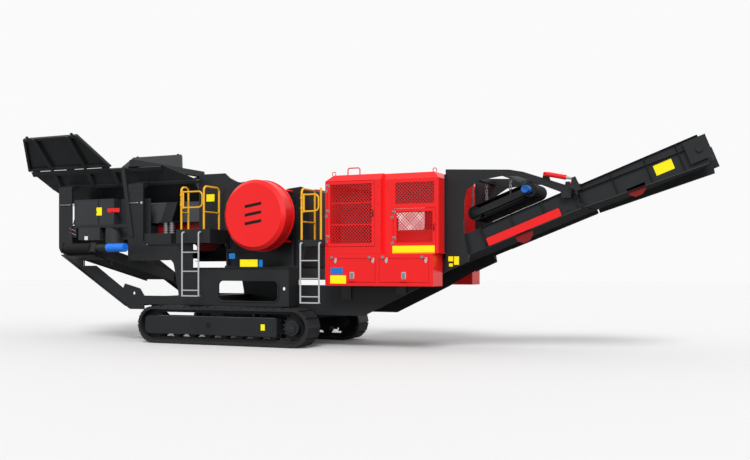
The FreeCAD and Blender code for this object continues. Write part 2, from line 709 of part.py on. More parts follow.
def coil(x, y):
    """A closed coil spring standing on its seat, its turns shown as ridges."""
    rise = SPRING_HEIGHT / SPRING_TURNS
    pieces = [Part.makeCylinder(SPRING_RADIUS - 20, SPRING_HEIGHT, vec(x, y, SPRING_SEAT))]
    for i in range(SPRING_TURNS):
        pieces.append(Part.makeCylinder(SPRING_RADIUS, rise / 2, vec(x, y, SPRING_SEAT + (i + 0.25) * rise)))
    return fused(pieces)


def make_feeder():
    half, plate = FEEDER_HALF_WIDTH, FEEDER_PLATE
    floor_z = FEEDER_FLOOR
    pieces = [box(FEEDER_REAR_X, GRIZZLY_START_X, -half, half, floor_z - plate, floor_z)]
    pieces.append(box(FEEDER_REAR_X, FEEDER_REAR_X + plate, -half, half, floor_z, FEEDER_TOP))
    for side_sign in (-1, 1):
        y0, y1 = sorted((side_sign * half, side_sign * (half + plate)))
        pieces.append(box(FEEDER_REAR_X, FEEDER_FRONT_X, y0, y1, FEEDER_BOTTOM, FEEDER_TOP))
        for x in (-4220, -1800):
            y0, y1 = sorted((side_sign * (half + plate), side_sign * (SPRING_Y + 90)))
            pieces.append(box(x, x + 340, y0, y1, SPRING_SEAT + SPRING_HEIGHT, SPRING_SEAT + SPRING_HEIGHT + 20))
            seat = SPRING_SEAT + SPRING_HEIGHT
            for at in (x + 60, x + 200):
                pieces.append(plate_xz([(at, seat), (at + 15, seat), (at + 145, FEEDER_TOP), (at + 130, FEEDER_TOP)], y0, y1))
            face = sorted((side_sign * (SPRING_Y + 78), side_sign * (SPRING_Y + 90)))
            slant = [(x + 20, seat), (x + 300, seat), (x + 460, FEEDER_TOP), (x + 180, FEEDER_TOP)]
            pieces.append(plate_xz(slant, *face))
            lip = sorted((side_sign * (half + plate + SKIRT_DEPTH + 4), side_sign * (SPRING_Y + 90)))
            pieces.append(box(x + 180, x + 460, *lip, FEEDER_TOP - 16, FEEDER_TOP))
    for x in (-4200, -3100, GRIZZLY_START_X - 100):
        pieces.append(box(x, x + 100, -half, half, FEEDER_BOTTOM, floor_z - plate))
    pan = fused(pieces)
    save("feeder", [pan, fused(grizzly_pieces())])
    skirts = []
    for side_sign in (-1, 1):
        y0, y1 = sorted((side_sign * (half + plate), side_sign * (half + plate + SKIRT_DEPTH)))
        block = box(-1440, FEEDER_FRONT_X, y0, y1, FEEDER_BOTTOM, FEEDER_TOP)
        skirts.append(block)
        block = box(-2240, -1820, y0, y1, FEEDER_BOTTOM, FEEDER_TOP)
        skirts.append(block)
    save("feeder_skirts", skirts)
    springs = []
    for side_sign in (-1, 1):
        for x in (-4120, -3960 - 30, -1700, -1550):
            springs.append(coil(x, side_sign * SPRING_Y))
    save("feeder_springs", springs)
    chute = []
    for side_sign in (-1, 1):
        y0, y1 = sorted((side_sign * (half - 20), side_sign * half))
        chute.append(plate_xz([(-2130, FEEDER_BOTTOM), (-1000, FEEDER_BOTTOM), (-1100, 2250), (-1500, 1950), (-1800, 1950), (-2130, 2250)], y0, y1))
    chute.append(box(-2130, -2115, -half + 20, half - 20, 2250, FEEDER_BOTTOM))
    chute.append(box(-1500, -1110, -half + 20, half - 20, 2240, 2255))
    save("bypass_chute", fused(chute))


def grizzly_pieces():
    half = FEEDER_HALF_WIDTH
    pitch = 2 * half / GRIZZLY_BAR_COUNT
    bars = []
    for i in range(GRIZZLY_BAR_COUNT):
        y = -half + (i + 0.5) * pitch
        taper = [(GRIZZLY_START_X, y - 32), (FEEDER_FRONT_X - 20, y - 22), (FEEDER_FRONT_X - 20, y + 22), (GRIZZLY_START_X, y + 32)]
        bars.append(plate_xy(taper, FEEDER_FLOOR - 60, FEEDER_FLOOR))
    for x in (GRIZZLY_START_X, FEEDER_FRONT_X - 120):
        bars.append(box(x, x + 100, -half, half, FEEDER_FLOOR - 90, FEEDER_FLOOR - 60))
    return bars


# Jaw crusher

def make_crusher():
    y0, y1 = CHEEK_Y, CHEEK_Y + CHEEK_PLATE
    outline = [
        (-250, CRUSHER_DECK),
        (1490, CRUSHER_DECK),
        (1680, 2150),
        (1680, 3120),
        (1480, 3200),
        (1180, 3170),
        (1000, 3060),
        (300, 3290),
        (-250, 3290),
    ]
    cheek = plate_xz(outline, -y1, -y0)
    housing = rod_y(SHAFT_X, SHAFT_Z, 240, -y1 - 150, -y1)
    ribs = []
    for z in (1900, 2300):
        ribs.append(box(-250, 520, -y1 - 70, -y1, z, z + 50))
    ribs.append(box(-250, -200, -y1 - 70, -y1, CRUSHER_DECK, 3290))
    ribs.append(box(1320, 1370, -y1 - 90, -y1, CRUSHER_DECK, 3000))
    ribs.append(box(-250, 1490, -y1 - 120, -y1, CRUSHER_DECK - FLANGE_PLATE, CRUSHER_DECK + 40))
    cheek = fused([cheek, housing] + ribs)
    cheek = cheek.cut(rod_y(SHAFT_X, SHAFT_Z, SHAFT_RADIUS + RUNNING_GAP, -y1 - 200, -y0 + 1))
    walls = [
        box(-250, -160, -y0, y0, CRUSHER_DECK, 3290),
        plate_xz([(1400, CRUSHER_DECK), (1490, CRUSHER_DECK), (1680, 2150), (1680, 3120), (1600, 3150), (1600, 2170)], -y0, y0),
        box(1180, 1600, -y0, y0, 3100, 3160),
    ]
    save("crusher_frame", both(cheek) + walls)
    fixed = plate_xz([(-160, 1640), (-160, 3290), (-90, 3290), (-20, 1640)], -y0 + 10, y0 - 10)
    swing = [(260, 1660), (620, 1700), (820, 2150), (1130, 2500), (1130, 2750), (920, 2900), (640, 3120), (560, 3120)]
    pitman = plate_xz(swing, -y0 + 30, y0 - 30)
    pitman = pitman.cut(rod_y(SHAFT_X, SHAFT_Z, SHAFT_RADIUS + 5, -y0, y0))
    toggle = plate_xz([(620, 1705), (640, 1780), (1450, 1980), (1450, 1880)], -400, 400)
    toggle = toggle.cut(pitman)
    anchor = box(1450, 1520, -400, 400, 1840, 2020)
    save("jaws", [fixed, pitman, fused([toggle, anchor]).cut(walls[1])])

    wheels = [rod_y(SHAFT_X, SHAFT_Z, SHAFT_RADIUS, -FLYWHEEL_FACE_Y, FLYWHEEL_FACE_Y)]
    for side_sign in (-1, 1):
        outer = side_sign * FLYWHEEL_FACE_Y
        inner = side_sign * (FLYWHEEL_FACE_Y - FLYWHEEL_WIDTH)
        f0, f1 = sorted((outer, inner))
        rim = rod_y(SHAFT_X, SHAFT_Z, FLYWHEEL_RADIUS, f0, f1)
        rim = rim.cut(rod_y(SHAFT_X, SHAFT_Z, FLYWHEEL_RADIUS - 110, f0 - 1, f1 + 1))
        middle = (f0 + f1) / 2
        web = rod_y(SHAFT_X, SHAFT_Z, FLYWHEEL_RADIUS - 100, middle - 40, middle + 40)
        hub = rod_y(SHAFT_X, SHAFT_Z, 190, f0, f1)
        wheels += [rim, web, hub]
    save("flywheels", fused(wheels))

    guard = []
    profile = [
        (0, GUARD_FACE_Y), (GUARD_FACE_RADIUS, GUARD_FACE_Y), (GUARD_RADIUS, GUARD_FACE_Y - GUARD_BEVEL),
        (GUARD_RADIUS, GUARD_BACK_Y + 40), (GUARD_RADIUS + 15, GUARD_BACK_Y + 40), (GUARD_RADIUS + 15, GUARD_BACK_Y),
        (GUARD_RADIUS - 60, GUARD_BACK_Y), (GUARD_RADIUS - 60, GUARD_BACK_Y + GUARD_PLATE),
        (GUARD_RADIUS - GUARD_PLATE, GUARD_BACK_Y + GUARD_PLATE),
        (GUARD_RADIUS - GUARD_PLATE, GUARD_FACE_Y - GUARD_BEVEL - 3),
        (GUARD_FACE_RADIUS - 3, GUARD_FACE_Y - GUARD_PLATE), (0, GUARD_FACE_Y - GUARD_PLATE),
    ]
    points = [vec(SHAFT_X + r, -y, SHAFT_Z) for r, y in profile]
    shell = Part.Face(Part.makePolygon(points + [points[0]])).revolve(vec(SHAFT_X, 0, SHAFT_Z), vec(0, 1, 0), 360)
    for z in (170, 0, -170):
        slot = [(-190, z - 35), (190, z + 25), (190, z + 85), (-190, z + 25)]
        slot = [(SHAFT_X + x, SHAFT_Z + dz) for x, dz in slot]
        shell = shell.cut(plate_xz(slot, -GUARD_FACE_Y - 5, -GUARD_FACE_Y + GUARD_PLATE + 5))
    guard.append(shell)
    for angle in (50, 130, 230, 310):
        x = SHAFT_X + (GUARD_RADIUS - 35) * math.cos(math.radians(angle))
        z = SHAFT_Z + (GUARD_RADIUS - 35) * math.sin(math.radians(angle))
        guard.append(rod_y(x, z, 22, -GUARD_BACK_Y, -CHEEK_Y - CHEEK_PLATE))
    guard = fused(guard)
    save("flywheel_guards", both(guard))

    inlet = [(-870, 2350), (290, 2350), (290, 3310), (-10, 3350), (-220, 3530), (-870, 3530)]
    wall = plate_xz(inlet, -INLET_Y, -INLET_Y + 15)
    shelf = [box(-250, 290, -INLET_Y + 15, -y1 - 70, z, z + 15) for z in (2360, 3270)]
    shelf.append(box(-250, 290, -y1 - 70, -y1, 3270, 3285))
    shelf.append(box(275, 290, -INLET_Y + 15, -y1, 2375, 3270))
    inlet = fused([wall] + shelf).cut(cheek)
    save("crusher_inlet", both(inlet))


# Hinges

def placed(shape, at, x_axis, y_axis, z_axis):
    """The shape, drawn about the origin, moved so that its own axes point along the three given ones."""
    rows = []
    for i in range(3):
        rows += [x_axis[i], y_axis[i], z_axis[i], at[i]]
    shape = shape.copy()
    shape.Placement = FreeCAD.Placement(FreeCAD.Matrix(*rows, 0, 0, 0, 1))
    return shape


def hinge(at, moving, normal, length, radius, leaf):
    """The moving and the fixed half of a hinge whose barrel lies on the panels' outer face."""
    axis = moving.cross(normal)
    half, pin = length / 2, radius * 0.5
    knuckle = Part.makeCylinder(radius, half - 1)
    flap = box(0, leaf, -radius, -radius + 3, 0, half - 1)
    turning = fused([knuckle, flap]).cut(Part.makeCylinder(pin + RUNNING_GAP, half + 1, vec(0, 0, -1)))
    post = Part.makeCylinder(radius, half - 1, vec(0, 0, half + 1))
    plate = box(-leaf, 0, -radius, -radius + 3, half + 1, length)
    standing = fused([post, plate, Part.makeCylinder(pin, length)])
    return placed(turning, at, moving, normal, axis), placed(standing, at, moving, normal, axis)


# Power pack

HINGE_RADIUS = 9.0
PANELS = (
    # name, x0, x1, z0, z1, face |y|, hinge edge, hinge places
    ("engine_door", 2440, 3420, 1960, 3190, PACK_HALF_WIDTH, "rear", (2080, 2560, 3040)),
    ("cooler_door", 3760, 4590, 1960, 2650, PACK_HALF_WIDTH - PACK_STEP_DEPTH, "rear", (2040, 2520)),
    ("rear_lid", 2487, 3433, 1290, 1730, PACK_HALF_WIDTH, "top", (2560, 3340)),
    ("front_lid", 3520, 4494, 1290, 1730, PACK_HALF_WIDTH, "top", (3610, 4390)),
)


def panel(name, x0, x1, z0, z1, face, edge, places):
    """A hinged panel on the right side, with its half of each hinge, and the hinges' standing halves."""
    body = box(x0, x1, -face, -face + DOOR_PLATE, z0, z1)
    inset = DOOR_FRAME
    if edge == "rear":
        body = body.cut(box(x0 + inset, x1 - inset, -face, -face + DOOR_PLATE - MESH_PLATE, z0 + inset, z1 - inset))
        grip = box(x1 - 45, x1 - 15, -face - 25, -face, (z0 + z1) / 2 - 60, (z0 + z1) / 2 + 60)
    else:
        middle = (x0 + x1) / 2
        grip = box(middle - 60, middle + 60, -face - 25, -face, z0 + 15, z0 + 45)
    moving, standing = [body, grip], []
    for place in places:
        if edge == "rear":
            at = vec(x0 - DOOR_GAP / 2, -face - HINGE_RADIUS, place + 50)
            turning, post = hinge(at, vec(1, 0, 0), vec(0, -1, 0), 100, HINGE_RADIUS, 45)
        else:
            at = vec(place + 50, -face - HINGE_RADIUS, z1 + DOOR_GAP / 2)
            turning, post = hinge(at, vec(0, 0, -1), vec(0, -1, 0), 100, HINGE_RADIUS, 45)
        moving.append(turning)
        standing.append(post)
    return fused(moving), standing


def pack_block(inset):
    """The upper housing's shape, drawn in by inset on every side."""
    x0, x1 = PACK_START_X + inset, PACK_END_X - inset
    z0, z1 = PACK_SPLIT + inset, PACK_TOP - inset
    c = PACK_CHAMFER - inset * 0.4
    side = plate_xz([(x0, z0), (x1, z0), (x1, z1 - c), (x1 - c, z1), (x0 + c, z1), (x0, z1 - c)], -2000, 2000)
    blocks = []
    for start, end, half in ((x0, PACK_STEP_X - inset, PACK_HALF_WIDTH), (x0, x1, PACK_HALF_WIDTH - PACK_STEP_DEPTH)):
        y = half - inset
        outline = [(-y, z0), (y, z0), (y, z1 - c), (y - c, z1), (-y + c, z1), (-y, z1 - c)]
        blocks.append(plate_yz(outline, start, end))
    return fused(blocks).common(side)


def make_pack():
    wall, gap = PACK_WALL, DOOR_GAP
    inner = pack_block(wall).cut(box(TUNNEL_START_X, 5000, -LOCKER_BACK_Y, LOCKER_BACK_Y, 1800, TUNNEL_TOP))
    shell = pack_block(0).cut(inner)
    shell = shell.cut(box(TUNNEL_START_X + wall, 5000, -KEEL_FACE_Y, KEEL_FACE_Y, 1800, TUNNEL_TOP - wall))
    lockers, posts = [], []
    outer, back = PACK_HALF_WIDTH, LOCKER_BACK_Y
    locker = box(PACK_START_X, 4580, -outer, -back, PACK_FLOOR, PACK_SPLIT)
    for x0, x1 in ((2435, 3450), (3500, 4540)):
        locker = locker.cut(box(x0, x1, -outer + DOOR_PLATE, -back - 20, PACK_FLOOR + 20, PACK_SPLIT - 20))
    for x0, x1, z0 in ((2500, 2700, 950), (3650, 3850, 1060)):
        locker = locker.fuse(box(x0, x1, -back, -KEEL_FACE_Y, z0, PACK_FLOOR + 100))
    for name, x0, x1, z0, z1, face, edge, places in PANELS:
        hole = box(x0 - gap, x1 + gap, -face - 1, -face + wall + 5, z0 - gap, z1 + gap)
        body, standing = panel(name, x0, x1, z0, z1, face, edge, places)
        if edge == "rear":
            shell = shell.cut(hole).cut(mirrored(hole))
        else:
            locker = locker.cut(hole)
        posts += standing
        save(name + "_right", body)
        save(name + "_left", mirrored(body))
    for sign in (-1, 1):
        face = sign * (PACK_HALF_WIDTH - PACK_STEP_DEPTH)
        y0, y1 = sorted((face, face - sign * 25))
        shell = shell.cut(box(3800, 4560, y0, y1, 2740, 3130))
        points = [vec(x, sign * 1240, z) for x, z in ((2800, 3310), (2800, 3450), (3050, 3450), (3050, 3310))]
        shell = shell.fuse(tube_path(points, 40, 12))
    save("pack_housing", shell.removeSplitter())
    save("pack_lockers", both(locker.removeSplitter()))
    fixed = []
    for post in posts:
        fixed += both(post)
    save("pack_hinges", fixed)
    engine = box(2660, 3160, -400, 400, PACK_SPLIT + wall, 2600)
    cooler = box(2620, 3230, -1180, -1060, PACK_SPLIT + wall, 2950)
    shroud = rod_y(2925, 2450, 270, -1200, -1180).cut(rod_y(2925, 2450, 245, -1201, -1180))
    save("engine_and_coolers", [engine, fused([cooler, shroud])])


# Conveyors

def tilted(shape, angle, at, turn=0):
    """A piece of a conveyor, drawn level from its fold outward, tilted up and set at its fold."""
    shape = shape.copy()
    shape.rotate(vec(0, 0, 0), vec(0, 1, 0), -angle)
    shape.rotate(vec(0, 0, 0), vec(0, 0, 1), turn)
    shape.translate(at)
    return shape


def band(points, thickness):
    """A closed band outline: the open path of (x, z) points and the same path moved to its left."""
    moved = []
    for i, (x, z) in enumerate(points):
        x0, z0 = points[max(i - 1, 0)]
        x1, z1 = points[min(i + 1, len(points) - 1)]
        if 0 < i < len(points) - 1:
            a = math.atan2(z - z0, x - x0)
            b = math.atan2(z1 - z, x1 - x)
            middle, reach = (a + b) / 2, thickness / math.cos((b - a) / 2)
            if abs(b - a) > math.pi:
                middle, reach = middle + math.pi, -reach
        else:
            middle, reach = math.atan2(z1 - z0, x1 - x0), thickness
        moved.append((x - math.sin(middle) * reach, z + math.cos(middle) * reach))
    return points + moved[::-1]


def around(x, z, radius, start, end, steps=8):
    """Points round a drum, just outside its rim, from one angle to the other."""
    reach = radius / math.cos(math.radians((end - start) / steps / 2))
    angles = [math.radians(start + (end - start) * i / steps) for i in range(steps + 1)]
    return [(x + reach * math.cos(t), z + reach * math.sin(t)) for t in angles]


FOLD = vec(FOLD_X, 0, FOLD_Z)
FOLD_LUG = 22.0
FOLD_PIN = 12.0
FLANGE_START = 42.0


def fold_lug(direction, y0, y1):
    """A hinge lug about the fold's axis, whose foot runs back along the panel's top edge."""
    foot = [(0, FOLD_LUG), (direction * 130, -PANEL_DROP + 5), (direction * 130, -PANEL_DROP - 8), (0, -FOLD_LUG)]
    return fused([rod_y(0, 0, FOLD_LUG, y0, y1), plate_xz(foot, y0, y1)])


def boom_point(along, up):
    """The (x, z) point of the tilted boom that lies along its slope from the fold and up from it."""
    angle = math.radians(CONVEYOR_ANGLE)
    x = FOLD_X + along * math.cos(angle) - up * math.sin(angle)
    return x, FOLD_Z + along * math.sin(angle) + up * math.cos(angle)


def slope_meets(up, height):
    """The (x, z) point where the boom's line at that offset comes down to a height."""
    angle = math.radians(CONVEYOR_ANGLE)
    along = (height - FOLD_Z - up * math.cos(angle)) / math.sin(angle)
    return boom_point(along, up)


def make_conveyor():
    half, plate, gap = PANEL_HALF_WIDTH, PANEL_PLATE, FOLD_GAP
    top, low = -PANEL_DROP, -PANEL_DROP - PANEL_HEIGHT
    outline = [
        boom_point(-gap, top), slope_meets(top, TAIL_TOP), (TAIL_X, TAIL_TOP),
        (TAIL_X, TAIL_BOTTOM), slope_meets(low, TAIL_BOTTOM), boom_point(-gap, low),
    ]
    panels = both(plate_xz(outline, -half, -half + plate))
    frame = list(panels)
    for sign in (-1, 1):
        y0, y1 = sorted((sign * half, sign * (half + PANEL_FLANGE)))
        for up in (top - 8, low):
            frame.append(tilted(box(-1850, -FLANGE_START, y0, y1, up, up + 8), CONVEYOR_ANGLE, FOLD))
        lug = fold_lug(-1, *sorted((sign * (half + 12), sign * (half + 34))))
        pin = rod_y(0, 0, FOLD_PIN, *sorted((sign * (half + 12), sign * (half + 52))))
        frame.append(tilted(fused([lug, pin]), CONVEYOR_ANGLE, FOLD))
        for along in (-1850, -1250, -650, -60):
            frame.append(tilted(box(along, along + 8, y0, y1, low, top), CONVEYOR_ANGLE, FOLD))
        y0, y1 = sorted((sign * half, sign * (KEEL_FACE_Y - KEEL_PLATE)))
        frame.append(box(1800, 1900, y0, y1, 650, 780))
        frame.append(box(4880, 4980, y0, y1, 1790, 1870))
        y0, y1 = sorted((sign * half, sign * ARM_Y))
        frame.append(box(6850, 6930, y0, y1, 2800, 2870))
    inner = half - plate
    for along in (-5200, -3900, -2600, -1300, -100):
        frame.append(tilted(box(along, along + 60, -inner, inner, low + 170, low + 230), CONVEYOR_ANGLE, FOLD))
    frame.append(box(TAIL_X, TAIL_X + 12, -inner, inner, TAIL_BOTTOM, TAIL_BOTTOM + 60))
    boom = [fused(frame)]

    head = []
    outline = [(gap, top), (HEAD_LENGTH, top), (HEAD_LENGTH + 60, -250), (HEAD_LENGTH, -HEAD_DEPTH), (gap, low)]
    for panel_side in both(plate_xz(outline, -half, -half + plate)):
        head.append(panel_side)
    for sign in (-1, 1):
        y0, y1 = sorted((sign * half, sign * (half + PANEL_FLANGE)))
        head.append(box(FLANGE_START, HEAD_LENGTH, y0, y1, top - 8, top))
        y2, y3 = sorted((sign * (half + 36), sign * (half + 50)))
        head.append(fold_lug(1, y2, y3).cut(rod_y(0, 0, FOLD_PIN + RUNNING_GAP, y2 - 1, y3 + 1)))
        head.append(strip((gap, low), (HEAD_LENGTH, -HEAD_DEPTH), 8, y0, y1))
        head.append(strip((gap, low + 290), (HEAD_LENGTH, -HEAD_DEPTH + 350), 8, y0, y1))
        for along in (60, 650, 1250, 1800):
            foot = low - (HEAD_DEPTH + low) * along / HEAD_LENGTH
            head.append(box(along, along + 8, y0, y1, foot + 3, top))
        plate_y = sorted((sign * (half + PANEL_FLANGE), sign * (half + PANEL_FLANGE + 12)))
        ear = [(HEAD_LENGTH - 260, -450), (HEAD_LENGTH - 260, -60), (HEAD_LENGTH + 120, -60), (HEAD_LENGTH + 120, -450)]
        head.append(plate_xz(ear, *plate_y))
        head.append(rod_y(HEAD_LENGTH - 40, -BELT_DROP - DRUM_RADIUS - 16, 60, *sorted((sign * half, plate_y[sign > 0] + sign * 30))))
        angle = math.radians(LIFT_LEVER_ANGLE - CONVEYOR_ANGLE)
        tip = (LIFT_LEVER * math.cos(angle), LIFT_LEVER * math.sin(angle))
        lever_y = CYLINDER_Y + LEVER_OFFSET
        cheek_y = sorted((sign * lever_y, sign * (lever_y + LEVER_PLATE)))
        lever = [(-40, -30), (tip[0] - 32, tip[1] + 32), (tip[0] + 32, tip[1] + 32), (120, -30), (120, -130), (40, -130)]
        head.append(plate_xz(lever, *cheek_y))
        head.append(rod_y(80, -90, 30, *sorted((sign * half, sign * lever_y))))
    for along in (150, 1100):
        head.append(box(along, along + 60, -inner, inner, low + 170, low + 230))
    head = fused([tilted(piece, CONVEYOR_ANGLE, FOLD) for piece in head])

    tail_drum = (TAIL_X + 180, TAIL_TOP - 63 - 16 - 110)
    carry = slope_meets(-BELT_DROP, TAIL_TOP - 63)
    back = slope_meets(-RETURN_DROP, tail_drum[1] - 110)
    path = [boom_point(-gap, -BELT_DROP - 16), (carry[0], carry[1] - 16)]
    path += around(tail_drum[0], tail_drum[1], 110, 90, 270) + [(back[0], back[1]), boom_point(-gap, -RETURN_DROP)]
    belt = plate_xz(band(path, -16), -BELT_WIDTH / 2, BELT_WIDTH / 2)
    drum_z = -BELT_DROP - 16 - DRUM_RADIUS
    path = [(gap, -RETURN_DROP)] + around(HEAD_LENGTH - 40, drum_z, DRUM_RADIUS, -90, 90) + [(gap, -BELT_DROP - 16)]
    head_belt = plate_xz(band(path, -16), -BELT_WIDTH / 2, BELT_WIDTH / 2)
    save("boom_belt", belt)
    save("head_belt", tilted(head_belt, CONVEYOR_ANGLE, FOLD))
    rollers = [rod_y(tail_drum[0], tail_drum[1], 108, -BELT_WIDTH / 2, BELT_WIDTH / 2)]
    rollers[0] = fused([rollers[0], rod_y(tail_drum[0], tail_drum[1], 35, -inner, inner)])
    for along in (-5400, -4550, -3600, -2900, -2200, -1500, -800, -250):
        rollers.append(tilted(rod_y(along, -BELT_DROP - 16 - 45 - RUNNING_GAP, 45, -inner, inner), CONVEYOR_ANGLE, FOLD))
    save("boom_frame", boom)
    save("boom_rollers", rollers)
    rollers = [rod_y(HEAD_LENGTH - 40, drum_z, DRUM_RADIUS - RUNNING_GAP, -BELT_WIDTH / 2, BELT_WIDTH / 2)]
    rollers[0] = fused([rollers[0], rod_y(HEAD_LENGTH - 40, drum_z, 40, -inner, inner)])
    for along in (300, 850, 1500):
        rollers.append(rod_y(along, -BELT_DROP - 16 - 45 - RUNNING_GAP, 45, -inner, inner))
    save("head_frame", fused([head] + [tilted(piece, CONVEYOR_ANGLE, FOLD) for piece in rollers]))

    arm = [
        (PACK_END_X, 1480), (5100, 1680), (4990, 2300), (5010, 2800), (5060, 3000), (5300, 3150), (5700, 3210),
        (6000, 3200), (6420, 3030), (6780, 2890), (6800, 2780), (6960, 2780), (6990, 2930), (6930, 2985),
        (6110, 3270), (5860, 3320), (PACK_END_X, 3380),
    ]
    arm = plate_xz(arm, -ARM_Y - ARM_PLATE, -ARM_Y)
    rear = [arm, box(PACK_END_X, PACK_END_X + 15, -ARM_Y - 100, -ARM_Y + 30, 1850, 3280)]
    lug = [(LIFT_REAR_X - 70, 3100), (LIFT_REAR_X - 40, LIFT_REAR_Z + 35), (LIFT_REAR_X + 40, LIFT_REAR_Z + 35), (LIFT_REAR_X + 90, 3060)]
    rear.append(plate_xz(lug, -ARM_Y - ARM_PLATE, -ARM_Y))
    rear.append(rod_y(LIFT_REAR_X, LIFT_REAR_Z, PIN_RADIUS - 6, -CYLINDER_Y - 24, -ARM_Y))
    beams = [box(x - 50, x + 50, -ARM_Y, ARM_Y, z, z + 80) for x, z in CHAIN_BEAMS]
    save("conveyor_arms", both(fused(rear)) + beams)

    angle = math.radians(LIFT_LEVER_ANGLE)
    tip = (FOLD_X + LIFT_LEVER * math.cos(angle), FOLD_Z + LIFT_LEVER * math.sin(angle))
    dx, dz = tip[0] - LIFT_REAR_X, tip[1] - LIFT_REAR_Z
    length = math.hypot(dx, dz)
    barrel_length, rod_start = length - 150, 60
    axis = vec(dx / length, 0, dz / length)
    for sign, name in ((-1, "right"), (1, "left")):
        y = sign * CYLINDER_Y
        rear = vec(LIFT_REAR_X, y, LIFT_REAR_Z)
        tube = rod_between(rear + axis * 30, rear + axis * barrel_length, CYLINDER_RADIUS)
        tube = tube.cut(rod_between(rear + axis * 45, rear + axis * (barrel_length + 1), ROD_RADIUS + RUNNING_GAP))
        eye = rod_y(rear.x, rear.z, 34, y - 20, y + 20)
        tube = fused([tube, eye]).cut(rod_y(rear.x, rear.z, PIN_RADIUS - 6 + RUNNING_GAP, y - 50, y + 50))
        save("lift_barrel_" + name, tube)
        front = vec(tip[0], y, tip[1])
        rod = rod_between(front - axis * (length - 190), front - axis * 20, ROD_RADIUS)
        eye = rod_y(front.x, front.z, 30, y - 20, y + 20)
        pin = rod_y(front.x, front.z, PIN_RADIUS - 6, *sorted((sign * (CYLINDER_Y - 26), sign * (lever_y - 2))))
        rod = fused([rod, eye, pin])
        save("lift_rod_" + name, rod)


CHAIN_BEAMS = ((5020.0, 3230.0), (5750.0, 3220.0))
MAGNET_REAR = -1950.0
MAGNET_FRONT = -850.0
MAGNET_UP = 330.0
MAGNET_RADIUS = 125.0
MAGNET_HALF_WIDTH = 420.0
LINK_LENGTH = 90.0
LINK_BAR = 14.0
LINK_WIDTH = 50.0


def chain(x, y, top, bottom):
    """Plain links hanging in line, each turned a quarter from the one above, from top down to bottom."""
    pitch = LINK_LENGTH - 2 * LINK_BAR
    links, z, i = [], top, 0
    while z - LINK_LENGTH > bottom:
        w, b = LINK_WIDTH / 2, LINK_BAR / 2
        if i % 2:
            link = box(x - b, x + b, y - w, y + w, z - LINK_LENGTH, z)
            hole = box(x - b, x + b, y - w + LINK_BAR, y + w - LINK_BAR, z - LINK_LENGTH + LINK_BAR, z - LINK_BAR)
        else:
            link = box(x - w, x + w, y - b, y + b, z - LINK_LENGTH, z)
            hole = box(x - w + LINK_BAR, x + w - LINK_BAR, y - b, y + b, z - LINK_LENGTH + LINK_BAR, z - LINK_BAR)
        links.append(link.cut(hole))
        low, z, i = z - LINK_LENGTH, z - pitch, i + 1
    return links, low


def make_magnet():
    r0, r1, up = MAGNET_REAR, MAGNET_FRONT, MAGNET_UP
    path = around(r0, up, MAGNET_RADIUS, 90, 270) + around(r1, up, MAGNET_RADIUS, -90, 90)
    loop = band(path + [path[0]], -14)
    ring_outer = prism([vec(x, -MAGNET_HALF_WIDTH, z) for x, z in loop[len(path) + 1:]], vec(0, 2 * MAGNET_HALF_WIDTH, 0))
    ring_inner = prism([vec(x, -MAGNET_HALF_WIDTH - 1, z) for x, z in path], vec(0, 2 * MAGNET_HALF_WIDTH + 2, 0))
    save("magnet_belt", tilted(ring_outer.cut(ring_inner), CONVEYOR_ANGLE, FOLD))
    core = [box(r0 + 150, r1 - 150, -MAGNET_HALF_WIDTH + 20, MAGNET_HALF_WIDTH - 20, up - 105, up + 60)]
    for along in (r0, r1):
        drum = rod_y(along, up, MAGNET_RADIUS - RUNNING_GAP, -MAGNET_HALF_WIDTH, MAGNET_HALF_WIDTH)
        core.append(drum)
        core.append(rod_y(along, up, 35, -MAGNET_HALF_WIDTH - 70, MAGNET_HALF_WIDTH + 70))
    for sign in (-1, 1):
        y0, y1 = sorted((sign * (MAGNET_HALF_WIDTH + 10), sign * (MAGNET_HALF_WIDTH + 50)))
        core.append(box(r0 - 60, r1 + 60, y0, y1, up - 60, up + 60))
        y2, y3 = sorted((sign * (MAGNET_HALF_WIDTH - 20), sign * (MAGNET_HALF_WIDTH + 10)))
        core.append(box(r0 + 200, r1 - 200, y2, y3, up - 60, up + 40))
    frame = fused([tilted(piece, CONVEYOR_ANGLE, FOLD) for piece in core])
    motor = tilted(rod_y(r1, up, 70, -MAGNET_HALF_WIDTH - 300, -MAGNET_HALF_WIDTH - 70), CONVEYOR_ANGLE, FOLD)
    links = []
    eyes = []
    y = MAGNET_HALF_WIDTH + 30
    for x, beam_z in CHAIN_BEAMS:
        along = (x - FOLD_X + (up + 60) * math.sin(math.radians(CONVEYOR_ANGLE))) / math.cos(math.radians(CONVEYOR_ANGLE))
        z_low = boom_point(along, up + 60)[1]
        for sign in (-1, 1):
            chain_links, z = chain(x, sign * y, beam_z, z_low + 25)
            links += chain_links
            eyes.append(box(x - 20, x + 20, sign * y - 6, sign * y + 6, z_low - 40, z))
    frame = fused([frame] + eyes)
    save("magnet_frame", frame)
    save("magnet_motor", motor)
    save("magnet_chains", links)


